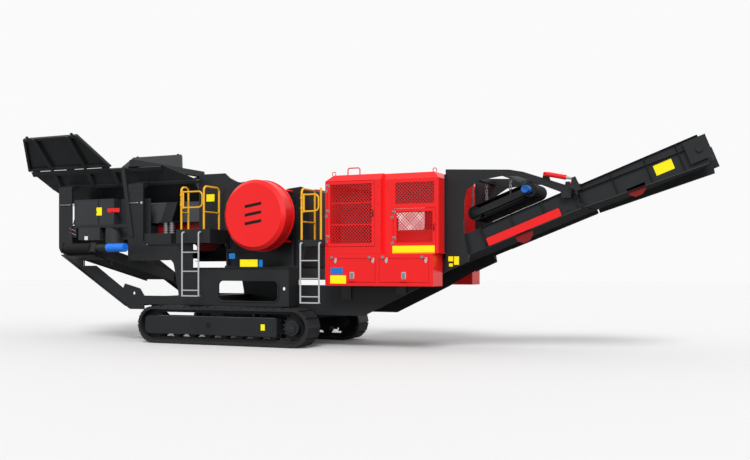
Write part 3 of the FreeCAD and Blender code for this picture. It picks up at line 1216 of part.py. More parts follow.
def make_side_conveyor():
    half, plate, gap = SIDE_HALF_WIDTH, PANEL_PLATE, FOLD_GAP
    at = vec(SIDE_X, -SIDE_FOLD_Y, SIDE_FOLD_Z)

    def put(shape):
        return tilted(shape, SIDE_ANGLE, at, -90)

    low, top = -20 - SIDE_PANEL, -20
    inner = half - plate
    tail = []
    for sign in (-1, 1):
        y0, y1 = sorted((sign * inner, sign * half))
        tail.append(box(-SIDE_TAIL_LENGTH, -gap, y0, y1, low, top))
    for along in (-SIDE_TAIL_LENGTH + 300, -900, -100):
        tail.append(box(along, along + 50, -inner, inner, low + 70, low + 120))
    for sign in (-1, 1):
        y0, y1 = sorted((sign * half, sign * (half + 12)))
        y2, y3 = sorted((sign * half, sign * (half + 26)))
        tail.append(plate_xz([(0, 20), (-110, -30), (-110, -80), (0, -20)], y0, y1).fuse(rod_y(0, 0, 20, y0, y1)))
        tail.append(rod_y(0, 0, SIDE_PIN, y2, y3))
    tail = [put(piece) for piece in tail]
    for sign in (-1, 1):
        x0, x1 = sorted((SIDE_X + sign * inner, SIDE_X + sign * half))
        tail.append(box(x0, x1, -SIDE_FACE_Y, -SIDE_FACE_Y + SIDE_PLATE, SIDE_TROUGH, 1800))
        for y, foot in ((-350, 1620), (250, 1500)):
            tail.append(box(x0, x1, y, y + 60, foot, 2060))
    rail = box(SIDE_X - half - 20, SIDE_X + half + 20, -350, -290, 2060, 2110)
    tail.append(rail)
    tail.append(box(SIDE_X - half - 20, SIDE_X + half + 20, 250, 310, 2060, 2110))
    head = []
    for sign in (-1, 1):
        y0, y1 = sorted((sign * inner, sign * half))
        head.append(box(gap, SIDE_HEAD_LENGTH + 90, y0, y1, low, top))
        y0, y1 = sorted((sign * (half + 14), sign * (half + 26)))
        lug = plate_xz([(0, 20), (130, -30), (130, -80), (0, -20)], y0, y1).fuse(rod_y(0, 0, 20, y0, y1))
        head.append(lug.cut(rod_y(0, 0, SIDE_PIN + RUNNING_GAP, y0 - 1, y1 + 1)))
        head.append(box(60, 130, *sorted((sign * half, sign * (half + 26))), -80, -50))
    head.append(box(60, 110, -inner, inner, low + 70, low + 120))
    head.append(box(gap + 20, 330, -inner, inner, low - 40, low))
    drum_up = -125
    path = [(-gap, drum_up + SIDE_DRUM_RADIUS)]
    path += around(-SIDE_TAIL_LENGTH + 120, drum_up, SIDE_DRUM_RADIUS, 90, 270) + [(-gap, drum_up - SIDE_DRUM_RADIUS)]
    width = half - 40
    save("side_tail_belt", put(plate_xz(band(path, -12), -width, width)))
    path = [(gap, drum_up - SIDE_DRUM_RADIUS)]
    path += around(SIDE_HEAD_LENGTH, drum_up, SIDE_DRUM_RADIUS, -90, 90) + [(gap, drum_up + SIDE_DRUM_RADIUS)]
    save("side_head_belt", put(plate_xz(band(path, -12), -width, width)))
    drum = rod_y(-SIDE_TAIL_LENGTH + 120, drum_up, SIDE_DRUM_RADIUS - RUNNING_GAP, -width, width)
    axle = rod_y(-SIDE_TAIL_LENGTH + 120, drum_up, 25, -inner, inner)
    save("side_tail_frame", [fused(tail), put(fused([drum, axle]))])
    drum = rod_y(SIDE_HEAD_LENGTH, drum_up, SIDE_DRUM_RADIUS - RUNNING_GAP, -width, width)
    axle = rod_y(SIDE_HEAD_LENGTH, drum_up, 25, -inner, inner)
    head_drum = put(fused([drum, axle]))
    gearbox = box(SIDE_HEAD_LENGTH - 90, SIDE_HEAD_LENGTH + 80, half, half + 120, drum_up - 95, drum_up + 95)
    flange = rod_y(SIDE_HEAD_LENGTH, drum_up, 75, half + 120, half + 390)
    save("side_head_frame", [put(fused(head)), head_drum, put(fused([gearbox, flange]))])
    save("side_motor", put(rod_y(SIDE_HEAD_LENGTH, drum_up, 90, half + 390, half + 840)))


# Bay between the posts

def make_bay():
    y0, y1 = -SIDE_FACE_Y + SIDE_PLATE, -1000
    cabinets = []
    for x0, x1 in ((-3900, -3230), (-3210, -2800)):
        cabinets += both(box(x0, x1, y0 + 5, y1, 2500, 3060))
    cabinets.append(box(-3780, -3190, y0, y0 + 180, 2180, 2440))
    panel = [box(-3960, -2010, y1, y1 + 12, 2450, 3060)]
    for x0, x1 in ((-3960, -3140), (-2760, -2010)):
        panel.append(box(x0, x1, y1, y1 + 12, 2180, 2450))
    cabinets += both(fused(panel))
    save("cabinets", cabinets)
    tank = Part.makeCylinder(190, 330, vec(-2950, -1050, 2110))
    save("hose_tank", tank)
    save("valve_bank", box(-4020, -3840, y0, y0 + 150, 2240, 2440))


# Access

def gate(x, end, y, z0, z1):
    """A hoop of tube that swings on the post at x, with two collars round the post."""
    tube, reach = GATE_TUBE, RAIL_TUBE + GATE_TUBE + 8
    corner = RAIL_CORNER
    points = [vec(x + reach, y, z1), vec(end, y, z1), vec(end, y, z0), vec(x + reach, y, z0)]
    stile = rod_between(vec(x + reach, y, z0 - tube - 4), vec(x + reach, y, z1 + tube + 4), tube + 2)
    pieces = [tube_path(points, corner, tube), stile]
    for z in (z0 + 40, z1 - 80):
        pieces.append(Part.makeCylinder(RAIL_TUBE + 8, 40, vec(x, y, z)))
        pieces.append(box(x, x + reach, y - 5, y + 5, z + 3, z + 37))
    bore = Part.makeCylinder(RAIL_TUBE + RUNNING_GAP, z1 - z0 + 200, vec(x, y, z0 - 100))
    return fused(pieces).cut(bore)


def ladder(x, y, top, rungs, bottom):
    half = LADDER_WIDTH / 2
    rails = []
    for sign in (-1, 1):
        points = [vec(x + sign * half, y + 70, top), vec(x + sign * half, y, top), vec(x + sign * half, y, bottom)]
        rails.append(tube_path(points, 50, LADDER_TUBE))
    for z in rungs:
        rails.append(Part.makeCylinder(LADDER_TUBE * 0.8, 2 * half, vec(x - half, y, z), vec(1, 0, 0)))
    rails.append(box(x - half, x + half, y - 30, y + 60, bottom - 12, bottom + 12))
    return fused(rails)


def make_access():
    decks, rails, ladders = [], [], []
    y0, y1 = -PLATFORM_FACE_Y, -PLATFORM_BACK_Y
    front, back = y0 + 30, y1 - 30
    rows = [
        # name; deck x0, x1, z0, z1; rails' top; ladder's middle, rungs, bottom
        ("rear", -976, -156, 2066, 2346, 3213, -580, (1876, 1491, 1107), 996),
        ("front", 1870, 2385, 1967, 2094, 3080, 2150, (1694, 1353, 1008), 894),
    ]
    hoops = [
        # deck, x, far y, whether a second post stands there
        (0, -869, -1230, True),
        (0, -319, back, True),
        (1, 1925, back, True),
        (1, 2340, front, False),
    ]
    for name, x0, x1, z0, z1, top, middle, rungs, bottom in rows:
        deck = box(x0, x1, y0, y1, z0, z1).cut(box(x0 + 12, x1 - 12, y0 + 12, y1 - 12, z0 - 1, z1 - 16))
        if name == "front":
            deck = deck.fuse(box(x1, PACK_START_X, -1300, -1000, z0, z1))
        decks.append(deck)
        ladders.append(ladder(middle, y0 - 70, z1 - 60, rungs, bottom))
    for row, x, far, second in hoops:
        z, top = rows[row][4], rows[row][5]
        if not second:
            rails.append(rod_between(vec(x, front, z), vec(x, front, top), RAIL_TUBE))
            continue
        points = [vec(x, front, z), vec(x, front, top), vec(x, far, top), vec(x, far, z)]
        bar = rod_between(vec(x, front, z + 350), vec(x, far, z + 350), GATE_TUBE)
        rails.append(fused([tube_path(points, RAIL_CORNER, RAIL_TUBE), bar]))
    save("platforms", decks)
    save("ladders", ladders)
    save("handrails", rails)
    save("rear_gate", gate(-869, -360, front, 2790, 3110))
    save("front_gate", gate(1925, 2290, front, 2640, 2960))


def main():
    os.makedirs(PARTS, exist_ok=True)
    make_tracks()
    make_chassis()
    make_hopper()
    make_wing()
    make_feeder()
    make_crusher()
    make_pack()
    make_conveyor()
    make_magnet()
    make_side_conveyor()
    make_bay()
    make_access()


main()
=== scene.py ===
"""Looks of the tracked jaw crusher: camera, light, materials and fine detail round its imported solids."""
import json
import math

import bmesh
import bpy
from mathutils import Matrix, Vector


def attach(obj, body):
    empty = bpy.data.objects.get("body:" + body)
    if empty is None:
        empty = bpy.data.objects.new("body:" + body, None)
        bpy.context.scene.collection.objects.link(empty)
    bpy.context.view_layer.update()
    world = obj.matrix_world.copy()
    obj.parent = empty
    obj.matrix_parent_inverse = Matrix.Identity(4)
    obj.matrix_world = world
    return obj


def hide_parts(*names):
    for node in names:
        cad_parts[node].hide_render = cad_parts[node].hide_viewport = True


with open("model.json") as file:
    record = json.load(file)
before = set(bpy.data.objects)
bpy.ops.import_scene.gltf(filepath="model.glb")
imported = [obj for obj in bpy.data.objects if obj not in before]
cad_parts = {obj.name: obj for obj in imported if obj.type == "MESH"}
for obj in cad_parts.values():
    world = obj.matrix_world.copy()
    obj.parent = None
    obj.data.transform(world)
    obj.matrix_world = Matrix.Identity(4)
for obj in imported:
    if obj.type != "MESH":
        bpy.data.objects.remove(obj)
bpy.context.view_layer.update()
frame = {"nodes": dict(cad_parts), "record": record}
nodes = frame["nodes"]


# Camera

YAW = math.radians(24.023)
EYE = Vector((10.211, -16.607, 1.503))
FOCAL = 897.0
CENTRE_U, HORIZON_V = 375.0, 270.8


def make_camera():
    data = bpy.data.cameras.new("camera")
    camera = bpy.data.objects.new("camera", data)
    bpy.context.scene.collection.objects.link(camera)
    camera.location = EYE
    camera.rotation_euler = (math.radians(90), 0, YAW)
    data.sensor_width = 36
    data.lens = FOCAL / 750 * 36
    data.shift_y = (HORIZON_V - 230) / 750
    data.clip_end = 300
    bpy.context.scene.camera = camera


def seen(u, v, y):
    """The point of the plane at y that the photograph shows at (u, v)."""
    forward = Vector((-math.sin(YAW), math.cos(YAW), 0))
    right = Vector((math.cos(YAW), math.sin(YAW), 0))
    ray = forward + right * ((u - CENTRE_U) / FOCAL) + Vector((0, 0, (HORIZON_V - v) / FOCAL))
    return EYE + ray * ((y - EYE.y) / ray.y)


# Materials

def linear(*srgb):
    """The linear colour of three display values from 0 to 255."""
    shares = [v / 255 for v in srgb]
    return tuple(c / 12.92 if c <= 0.04045 else ((c + 0.055) / 1.055) ** 2.4 for c in shares)


def material(
    name, colour, rough, metal=0.0, coat=0.0, vary=0.12, grain=60.0, bump=0.05, cloud=1.2, dust=0.0, gleam=0.5,
):
    """A finish whose colour, roughness and surface vary with soft clouds and a fine grain."""
    made = bpy.data.materials.new(name)
    made.use_nodes = True
    tree = made.node_tree
    shader = tree.nodes["Principled BSDF"]
    shader.inputs["Metallic"].default_value = metal
    shader.inputs["Coat Weight"].default_value = coat
    shader.inputs["Specular IOR Level"].default_value = gleam
    shader.inputs["Coat Roughness"].default_value = 0.12
    place = tree.nodes.new("ShaderNodeTexCoord")
    clouds = tree.nodes.new("ShaderNodeTexNoise")
    clouds.inputs["Scale"].default_value = cloud
    clouds.inputs["Detail"].default_value = 6
    clouds.inputs["Roughness"].default_value = 0.6
    tree.links.new(place.outputs["Object"], clouds.inputs["Vector"])
    ramp = tree.nodes.new("ShaderNodeValToRGB")
    ramp.color_ramp.elements[0].position = 0.3
    ramp.color_ramp.elements[1].position = 0.72
    ramp.color_ramp.elements[0].color = (*[c * (1 - vary) for c in colour], 1)
    ramp.color_ramp.elements[1].color = (*[min(1, c * (1 + vary)) for c in colour], 1)
    tree.links.new(clouds.outputs["Fac"], ramp.inputs["Fac"])
    last = ramp.outputs["Color"]
    if dust:
        up = tree.nodes.new("ShaderNodeNewGeometry")
        split = tree.nodes.new("ShaderNodeSeparateXYZ")
        tree.links.new(up.outputs["Normal"], split.inputs["Vector"])
        share = tree.nodes.new("ShaderNodeMapRange")
        share.inputs["From Min"].default_value = 0.3
        share.inputs["From Max"].default_value = 1.0
        share.inputs["To Max"].default_value = dust
        tree.links.new(split.outputs["Z"], share.inputs["Value"])
        mix = tree.nodes.new("ShaderNodeMix")
        mix.data_type = "RGBA"
        mix.inputs["B"].default_value = (0.16, 0.15, 0.14, 1)
        tree.links.new(share.outputs["Result"], mix.inputs["Factor"])
        tree.links.new(last, mix.inputs["A"])
        last = mix.outputs["Result"]
    tree.links.new(last, shader.inputs["Base Color"])
    fine = tree.nodes.new("ShaderNodeTexNoise")
    fine.inputs["Scale"].default_value = grain
    fine.inputs["Detail"].default_value = 3
    tree.links.new(place.outputs["Object"], fine.inputs["Vector"])
    level = tree.nodes.new("ShaderNodeMapRange")
    level.inputs["To Min"].default_value = max(0.02, rough - 0.07)
    level.inputs["To Max"].default_value = min(1.0, rough + 0.07)
    tree.links.new(fine.outputs["Fac"], level.inputs["Value"])
    tree.links.new(level.outputs["Result"], shader.inputs["Roughness"])
    relief = tree.nodes.new("ShaderNodeBump")
    relief.inputs["Strength"].default_value = bump
    relief.inputs["Distance"].default_value = 0.002
    tree.links.new(fine.outputs["Fac"], relief.inputs["Height"])
    tree.links.new(relief.outputs["Normal"], shader.inputs["Normal"])
    return made


BLACK = material("satin_black", linear(33, 35, 37), 0.38, vary=0.16, dust=0.06, gleam=0.28)
DARK = material("satin_dark_grey", linear(46, 48, 51), 0.45, vary=0.1, dust=0.05, gleam=0.3)
RED = material("gloss_red", linear(228, 22, 24), 0.3, coat=0.15, vary=0.05, cloud=0.9, dust=0.02, gleam=0.3)
DEEP_RED = material("satin_deep_red", linear(128, 14, 20), 0.42, vary=0.12, gleam=0.3)
YELLOW = material("satin_yellow", linear(222, 166, 26), 0.4, coat=0.1, vary=0.06, gleam=0.3)
LIGHT = material("satin_light_grey", linear(168, 172, 176), 0.45, vary=0.08, gleam=0.3)
GREY = material("satin_grey", linear(70, 73, 77), 0.45, vary=0.1, dust=0.05, gleam=0.3)
BLUE = material("satin_blue", linear(30, 116, 222), 0.36, coat=0.15, vary=0.06, gleam=0.3)
TRACK = material(
    "track_shoes", linear(40, 41, 43), 0.5, metal=0.2, vary=0.25, grain=90, bump=0.2, dust=0.1, gleam=0.3,
)
CAST = material("rough_cast", linear(44, 44, 46), 0.6, metal=0.2, vary=0.2, grain=140, bump=0.3, gleam=0.3)
RUBBER = material("black_rubber", linear(26, 26, 27), 0.78, vary=0.2, grain=180, bump=0.25, gleam=0.2)
CHROME = material("polished_rod", linear(215, 217, 220), 0.12, metal=1.0, vary=0.03, bump=0.0)
STEEL = material("plain_steel", linear(150, 152, 155), 0.36, metal=0.8, vary=0.12, grain=200, bump=0.08)
LABEL_YELLOW = material("yellow_film", linear(246, 230, 10), 0.35, vary=0.03, cloud=6, gleam=0.3)
LABEL_BLUE = material("blue_film", linear(20, 112, 190), 0.35, vary=0.04, cloud=6, gleam=0.3)
LABEL_WHITE = material("white_film", linear(225, 226, 228), 0.35, vary=0.03, cloud=6, gleam=0.3)

FINISH = {
    "black_paint": BLACK, "red_paint": RED, "yellow_paint": YELLOW, "grey_paint": GREY, "light_paint": LIGHT,
    "blue_paint": BLUE, "track_steel": TRACK, "cast": CAST, "belt_rubber": RUBBER, "bright_steel": CHROME,
    "bare_steel": STEEL,
}


def dark_below(made, height, colour):
    """The finish turns to another colour below a height of the world."""
    tree = made.node_tree
    shader = tree.nodes["Principled BSDF"]
    above = shader.inputs["Base Color"].links[0].from_socket
    place = tree.nodes.new("ShaderNodeNewGeometry")
    split = tree.nodes.new("ShaderNodeSeparateXYZ")
    tree.links.new(place.outputs["Position"], split.inputs["Vector"])
    higher = tree.nodes.new("ShaderNodeMath")
    higher.operation = "GREATER_THAN"
    higher.inputs[1].default_value = height
    tree.links.new(split.outputs["Z"], higher.inputs[0])
    mix = tree.nodes.new("ShaderNodeMix")
    mix.data_type = "RGBA"
    mix.inputs["A"].default_value = (*colour, 1)
    tree.links.new(higher.outputs["Value"], mix.inputs["Factor"])
    tree.links.new(above, mix.inputs["B"])
    tree.links.new(mix.outputs["Result"], shader.inputs["Base Color"])


LOCKER_FOOT_TOP = 1.215
LOCKER_RED = material(
    "gloss_red_over_dark_feet", linear(228, 22, 24), 0.3, coat=0.15, vary=0.05, cloud=0.9, gleam=0.3,
)
dark_below(LOCKER_RED, LOCKER_FOOT_TOP, linear(40, 42, 45))


def dress_nodes():
    for row in frame["record"]["subparts"]:
        piece = nodes[row["node"]]
        piece.data.materials.clear()
        piece.data.materials.append(FINISH[row["material_slot"]])
    nodes["bypass_chute"].data.materials[0] = DEEP_RED
    nodes["pack_lockers"].data.materials[0] = LOCKER_RED
    for name in ("cabinets", "hose_tank"):
        nodes[name].data.materials[0] = DARK


# Shapes

SIDES = (("right", -1), ("left", 1))


def finished(piece, finish, body):
    piece.data.materials.append(finish)
    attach(piece, body)
    return piece


def from_bmesh(name, mesh, finish, body, bevel=0.0, smooth=False, segments=1):
    data = bpy.data.meshes.new(name)
    bmesh.ops.recalc_face_normals(mesh, faces=mesh.faces)
    mesh.to_mesh(data)
    mesh.free()
    piece = bpy.data.objects.new(name, data)
    bpy.context.scene.collection.objects.link(piece)
    if smooth:
        data.shade_smooth()
    if bevel:
        edge = piece.modifiers.new("edge", "BEVEL")
        edge.width = bevel
        edge.segments = segments
        edge.limit_method = "ANGLE"
        edge.angle_limit = math.radians(40)
    return finished(piece, finish, body)


def add_prism(mesh, points, offset):
    """An outline carried along an offset."""
    offset = Vector(offset)
    low = [mesh.verts.new(p) for p in points]
    top = [mesh.verts.new(Vector(p) + offset) for p in points]
    mesh.faces.new(low)
    mesh.faces.new(top[::-1])
    for i in range(len(points)):
        j = (i + 1) % len(points)
        mesh.faces.new((low[i], low[j], top[j], top[i]))


def prism(name, points, offset, finish, body, bevel=0.003):
    mesh = bmesh.new()
    add_prism(mesh, points, offset)
    return from_bmesh(name, mesh, finish, body, bevel)


def add_block(mesh, x0, x1, y0, y1, z0, z1):
    add_prism(mesh, [(x0, y0, z0), (x1, y0, z0), (x1, y1, z0), (x0, y1, z0)], (0, 0, z1 - z0))


def blocks(name, rows, finish, body, bevel=0.003):
    mesh = bmesh.new()
    for row in rows:
        add_block(mesh, *row)
    return from_bmesh(name, mesh, finish, body, bevel)


def add_round(mesh, start, end, radius, sides=20, end_radius=None):
    start, end = Vector(start), Vector(end)
    turn = (end - start).to_track_quat("Z", "Y").to_matrix().to_4x4()
    place = Matrix.Translation((start + end) / 2) @ turn
    other = radius if end_radius is None else end_radius
    length = (end - start).length
    bmesh.ops.create_cone(
        mesh, cap_ends=True, segments=sides, radius1=radius, radius2=other, depth=length, matrix=place,
    )


def rounds(name, rows, finish, body, sides=20, bevel=0.0015):
    """Round bars: rows are (start, end, radius) or (start, end, radius, end radius)."""
    mesh = bmesh.new()
    for row in rows:
        add_round(mesh, row[0], row[1], row[2], sides, row[3] if len(row) > 3 else None)
    piece = from_bmesh(name, mesh, finish, body, bevel)
    for face in piece.data.polygons:
        face.use_smooth = len(face.vertices) == 4
    return piece


def bolts(name, spots, normal, finish, body, radius=0.014, height=0.01):
    """Hexagon heads on washers at the spots, all facing along normal."""
    normal = Vector(normal).normalized()
    mesh = bmesh.new()
    for spot in spots:
        spot = Vector(spot)
        add_round(mesh, spot, spot + normal * height * 0.3, radius * 1.35, 16)
        add_round(mesh, spot + normal * height * 0.3, spot + normal * height, radius, 6)
    return from_bmesh(name, mesh, finish, body, 0.0008)


def pipe(name, points, radius, finish, body, corner=0.05):
    """A bent round pipe through the points, its corners rounded."""
    data = bpy.data.curves.new(name, "CURVE")
    data.dimensions = "3D"
    data.bevel_depth = radius
    data.bevel_resolution = 4
    data.use_fill_caps = True
    points = [Vector(p) for p in points]
    path = [points[0]]
    for before, here, after in zip(points, points[1:], points[2:]):
        a, b = (before - here), (after - here)
        reach = min(corner, a.length * 0.45, b.length * 0.45)
        a, b = here + a.normalized() * reach, here + b.normalized() * reach
        path += [a.lerp(here, t).lerp(here.lerp(b, t), t) for t in (0, 0.2, 0.4, 0.6, 0.8, 1.0)]
    path.append(points[-1])
    line = data.splines.new("POLY")
    line.points.add(len(path) - 1)
    for point, place in zip(line.points, path):
        point.co = (*place, 1)
    line.use_smooth = True
    piece = bpy.data.objects.new(name, data)
    bpy.context.scene.collection.objects.link(piece)
    return finished(piece, finish, body)


def sticker(name, u0, v0, u1, v1, y, finish, body="machine", lift=0.002):
    """A blank plate on the plane at y, filling the photograph's box from (u0, v0) to (u1, v1)."""
    corners = [seen(u, v, y) for u, v in ((u0, v1), (u1, v1), (u1, v0), (u0, v0))]
    x0, x1 = corners[0].x, corners[1].x
    z0, z1 = (corners[0].z + corners[1].z) / 2, (corners[2].z + corners[3].z) / 2
    mesh = bmesh.new()
    add_block(mesh, x0, x1, y - lift, y + 0.001, z0, z1)
    return from_bmesh(name, mesh, finish, body, 0.0008)


# Power pack

def add_lattice(mesh, x0, x1, z0, z1, y, pitch=0.046, width=0.011, thick=0.003):
    """Crossed flat bars that fill a window of the plane at y."""
    half = width / 2 * math.sqrt(2)
    for sign in (1, -1):
        lowest = (x0 + z0) if sign > 0 else (x0 - z1)
        highest = (x1 + z1) if sign > 0 else (x1 - z0)
        count = int((highest - lowest) / (pitch * math.sqrt(2)))
        for i in range(1, count + 1):
            k = lowest + i * pitch * math.sqrt(2)
            corners = []
            for edge in (k - half, k + half):
                ends = []
                for x in (x0, x1):
                    z = (edge - x) if sign > 0 else (x - edge)
                    if z0 <= z <= z1:
                        ends.append((x, z))
                for z in (z0, z1):
                    x = (edge - z) if sign > 0 else (edge + z)
                    if x0 < x < x1:
                        ends.append((x, z))
                ends.sort()
                if len(ends) >= 2:
                    corners.append((ends[0], ends[-1]))
            if len(corners) == 2:
                (a, b), (c, d) = corners
                lift = 0.0006 if sign > 0 else -0.0006
                add_prism(mesh, [(p[0], y - thick / 2 + lift, p[1]) for p in (a, b, d, c)], (0, thick, 0))


def add_frame(mesh, x0, x1, z0, z1, rim, y0, y1):
    add_block(mesh, x0, x1, y0, y1, z1 - rim, z1)
    add_block(mesh, x0, x1, y0, y1, z0, z0 + rim)
    add_block(mesh, x0, x0 + rim, y0, y1, z0 + rim, z1 - rim)
    add_block(mesh, x1 - rim, x1, y0, y1, z0 + rim, z1 - rim)


DOORS = {
    # kind: left edge, right edge, bottom, top, outer face from the middle
    "engine": (2.440, 3.420, 1.960, 3.190, 1.400),
    "cooler": (3.760, 4.590, 1.960, 2.650, 1.300),
}


def mesh_door(node, places, leaf):
    """A framed door whose window is filled with crossed bars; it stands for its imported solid."""
    kind, side_name = node.split("_door_")
    x0, x1, z0, z1, face = DOORS[kind]
    side = -1 if side_name == "right" else 1
    body = node
    face = face * side
    inner = face - side * 0.030
    low, high = sorted((face, inner))
    rim = 0.060
    mesh = bmesh.new()
    add_frame(mesh, x0, x1, z0, z1, rim, low, high)
    frame_piece = from_bmesh(node + "_frame", mesh, RED, body, 0.004, segments=2)
    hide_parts(node)
    mesh = bmesh.new()
    add_lattice(mesh, x0 + rim, x1 - rim, z0 + rim, z1 - rim, face - side * 0.012)
    from_bmesh(node + "_mesh", mesh, RED, body)
    if kind == "engine":
        mesh = bmesh.new()
        rail_y0, rail_y1 = sorted((inner, inner + side * 0.012))
        for z in (z0 + (z1 - z0) / 3, z0 + (z1 - z0) * 2 / 3):
            add_block(mesh, x0 + rim, x1 - rim, rail_y0, rail_y1, z - 0.012, z + 0.012)
        from_bmesh(node + "_rails", mesh, RED, body, 0.001)
    knuckles, leaves = [], []
    axis_x, axis_y = x0 - 0.003, face + side * 0.009
    for place in places:
        low_z = place + 0.050
        knuckles.append(((axis_x, axis_y, low_z), (axis_x, axis_y, low_z + 0.049), 0.009))
        leaves.append((x0 + 0.002, x0 + leaf, *sorted((face, face + side * 0.004)), low_z, low_z + 0.049))
    rounds(node + "_knuckles", knuckles, STEEL, body, 16)
    blocks(node + "_leaves", leaves, STEEL, body, 0.0015)
    leaf_y = face + side * 0.004
    heads = [(x0 + leaf * 0.6, leaf_y, place + 0.050 + d) for place in places for d in (0.013, 0.036)]
    bolts(node + "_hinge_bolts", heads, (0, side, 0), STEEL, body, 0.005, 0.004)
    middle = (z0 + z1) / 2
    y0, y1 = sorted((face, face + side * 0.025))
    posts = [(x1 - 0.042, x1 - 0.018, y0, y1, middle + d, middle + d + 0.02) for d in (-0.06, 0.04)]
    blocks(node + "_handle_posts", posts, BLACK, body, 0.002)
    grip_y = face + side * 0.025 - side * 0.006
    grip = ((x1 - 0.03, grip_y, middle - 0.06), (x1 - 0.03, grip_y, middle + 0.06), 0.008)
    rounds(node + "_handle", [grip], BLACK, body)


def pack_details():
    for side_name, side in SIDES:
        mesh_door("engine_door_" + side_name, (2.080, 2.560, 3.040), 0.045)
        mesh_door("cooler_door_" + side_name, (2.040, 2.520), 0.045)
        face = side * 1.300
        mesh = bmesh.new()
        add_lattice(mesh, 3.800, 4.560, 2.740, 3.130, face - side * 0.006)
        from_bmesh(f"window_mesh_{side_name}", mesh, RED, "machine")
        # a dark sheet just behind each window's mesh: painted shade standing in for the dark inside of the
        # housing
        y0, y1 = sorted((face - side * 0.0245, face - side * 0.019))
        blocks(f"window_shade_sheet_{side_name}", [(3.802, 4.558, y0, y1, 2.742, 3.128)], DARK, "machine", 0.0)
        # the lids' latches, each on its plate, and their stiffening folds
        for lid, x0, x1 in (("rear_lid", 2.487, 3.433), ("front_lid", 3.520, 4.494)):
            node = f"{lid}_{side_name}"
            outer = side * 1.400
            middle = (x0 + x1) / 2
            y0, y1 = sorted((outer, outer + side * 0.006))
            plate = (middle - 0.045, middle + 0.045, y0, y1, 1.352, 1.480)
            blocks(f"{node}_latch_plate", [plate], LIGHT, node, 0.004)
            y0, y1 = sorted((outer + side * 0.006, outer + side * 0.013))
            latch = (middle - 0.028, middle + 0.028, y0, y1, 1.366, 1.462)
            blocks(f"{node}_latch", [latch], STEEL, node, 0.003)
            heads = [(middle + dx, outer + side * 0.006, z) for dx in (-0.037, 0.037) for z in (1.358, 1.474)]
            bolts(f"{node}_latch_bolts", heads, (0, side, 0), STEEL, node, 0.004, 0.003)
            mesh = bmesh.new()
            add_frame(mesh, x0 + 0.03, x1 - 0.03, 1.300, 1.715, 0.010, *sorted((outer, outer + side * 0.003)))
            from_bmesh(f"{node}_fold", mesh, RED, node, 0.001)
    # bright drop-shaped plates below the lids' hinges
    for i, x in enumerate((2.610, 3.390, 3.660, 4.440)):
        node = "rear_lid_right" if x < 3.5 else "front_lid_right"
        right_half = [(0.028, 1.745), (0.028, 1.690), (0.016, 1.655), (0.0, 1.640)]
        outline = [(-0.028, 1.745), *right_half, (-0.016, 1.655), (-0.028, 1.690)]
        corners = [(x + dx, -1.400, z) for dx, z in outline]
        prism(f"lid_drop_{i}", corners, (0, -0.005, 0), LIGHT, node, 0.0015)
    # eyes at the roof's corners
    for i, (x, y) in enumerate(((2.52, -1.27), (4.53, -1.17), (2.52, 1.27), (4.53, 1.17))):
        foot, top = 3.318, 3.385
        bend = [(x - 0.035, y, foot), (x - 0.035, y, top), (x + 0.035, y, top), (x + 0.035, y, foot)]
        pipe(f"roof_eye_{i}", bend, 0.008, RED, "machine", 0.035)
    # seams of the upper housing and its base rail
    rail = []
    for side in (-1, 1):
        rail.append((2.397, 3.548, *sorted((side * 1.400, side * 1.404)), 1.826, 1.838))
        rail.append((3.552, 4.648, *sorted((side * 1.300, side * 1.304)), 1.826, 1.838))
    blocks("housing_seams", rail, RED, "machine", 0.001)
    for side_name, side in SIDES:
        spots = [(3.490, side * 1.400, z) for z in (2.10, 2.42, 2.74, 3.06)]
        bolts(f"housing_bolts_{side_name}", spots, (0, side, 0), DARK, "machine", 0.007, 0.004)


# Blank plates where the photograph has labels

def make_labels():
    rows = [
        # name, u0, v0, u1, v1, y, finish
        ("label_cabinet_a", 96.5, 207.5, 101.8, 215.5, -1.237, LABEL_YELLOW),
        ("label_cabinet_b", 107.5, 208.2, 119.5, 212.2, -1.237, RED),
        ("label_bay_small", 84.5, 236.3, 87.8, 240.0, -1.242, LABEL_WHITE),
        ("label_inlet", 206.5, 194.3, 214.5, 201.5, -0.851, LABEL_YELLOW),
        ("label_deck_yellow", 240.0, 259.5, 257.6, 266.8, -1.271, LABEL_YELLOW),
        ("label_deck_blue_a", 229.0, 253.3, 235.0, 258.8, -1.271, LABEL_BLUE),
        ("label_deck_blue_b", 258.8, 259.8, 262.6, 266.8, -1.271, LABEL_BLUE),
        ("label_cooler", 392.4, 245.6, 434.6, 253.6, -1.301, LABEL_YELLOW),
        ("label_lid_blue", 330.6, 267.8, 342.8, 274.4, -1.4035, LABEL_BLUE),
        ("label_lid_yellow", 330.2, 275.4, 346.0, 283.6, -1.4035, LABEL_YELLOW),
        ("label_arm_a", 448.3, 256.4, 453.2, 261.4, -0.926, LABEL_YELLOW),
        ("label_arm_b", 454.0, 256.4, 459.0, 264.8, -0.926, LABEL_YELLOW),
        ("label_arm_c", 449.0, 263.4, 452.8, 266.6, -0.926, LABEL_YELLOW),
        ("label_track", 260.7, 324.4, 264.8, 330.6, -1.351, LABEL_YELLOW),
    ]
    for name, u0, v0, u1, v1, y, finish in rows:
        body = "rear_lid_right" if name.startswith("label_lid") else "machine"
        sticker(name, u0, v0, u1, v1, y, finish, body)


FOLD_X, FOLD_Z = 7.0, 2.99
SLOPE = 21.4


def on_slope(along, up, y, angle=SLOPE, at=(FOLD_X, FOLD_Z)):
    """The point along the main conveyor's slope from its fold, and up from it."""
    a = math.radians(angle)
    x = at[0] + along * math.cos(a) - up * math.sin(a)
    z = at[1] + along * math.sin(a) + up * math.cos(a)
    return Vector((x, y, z))


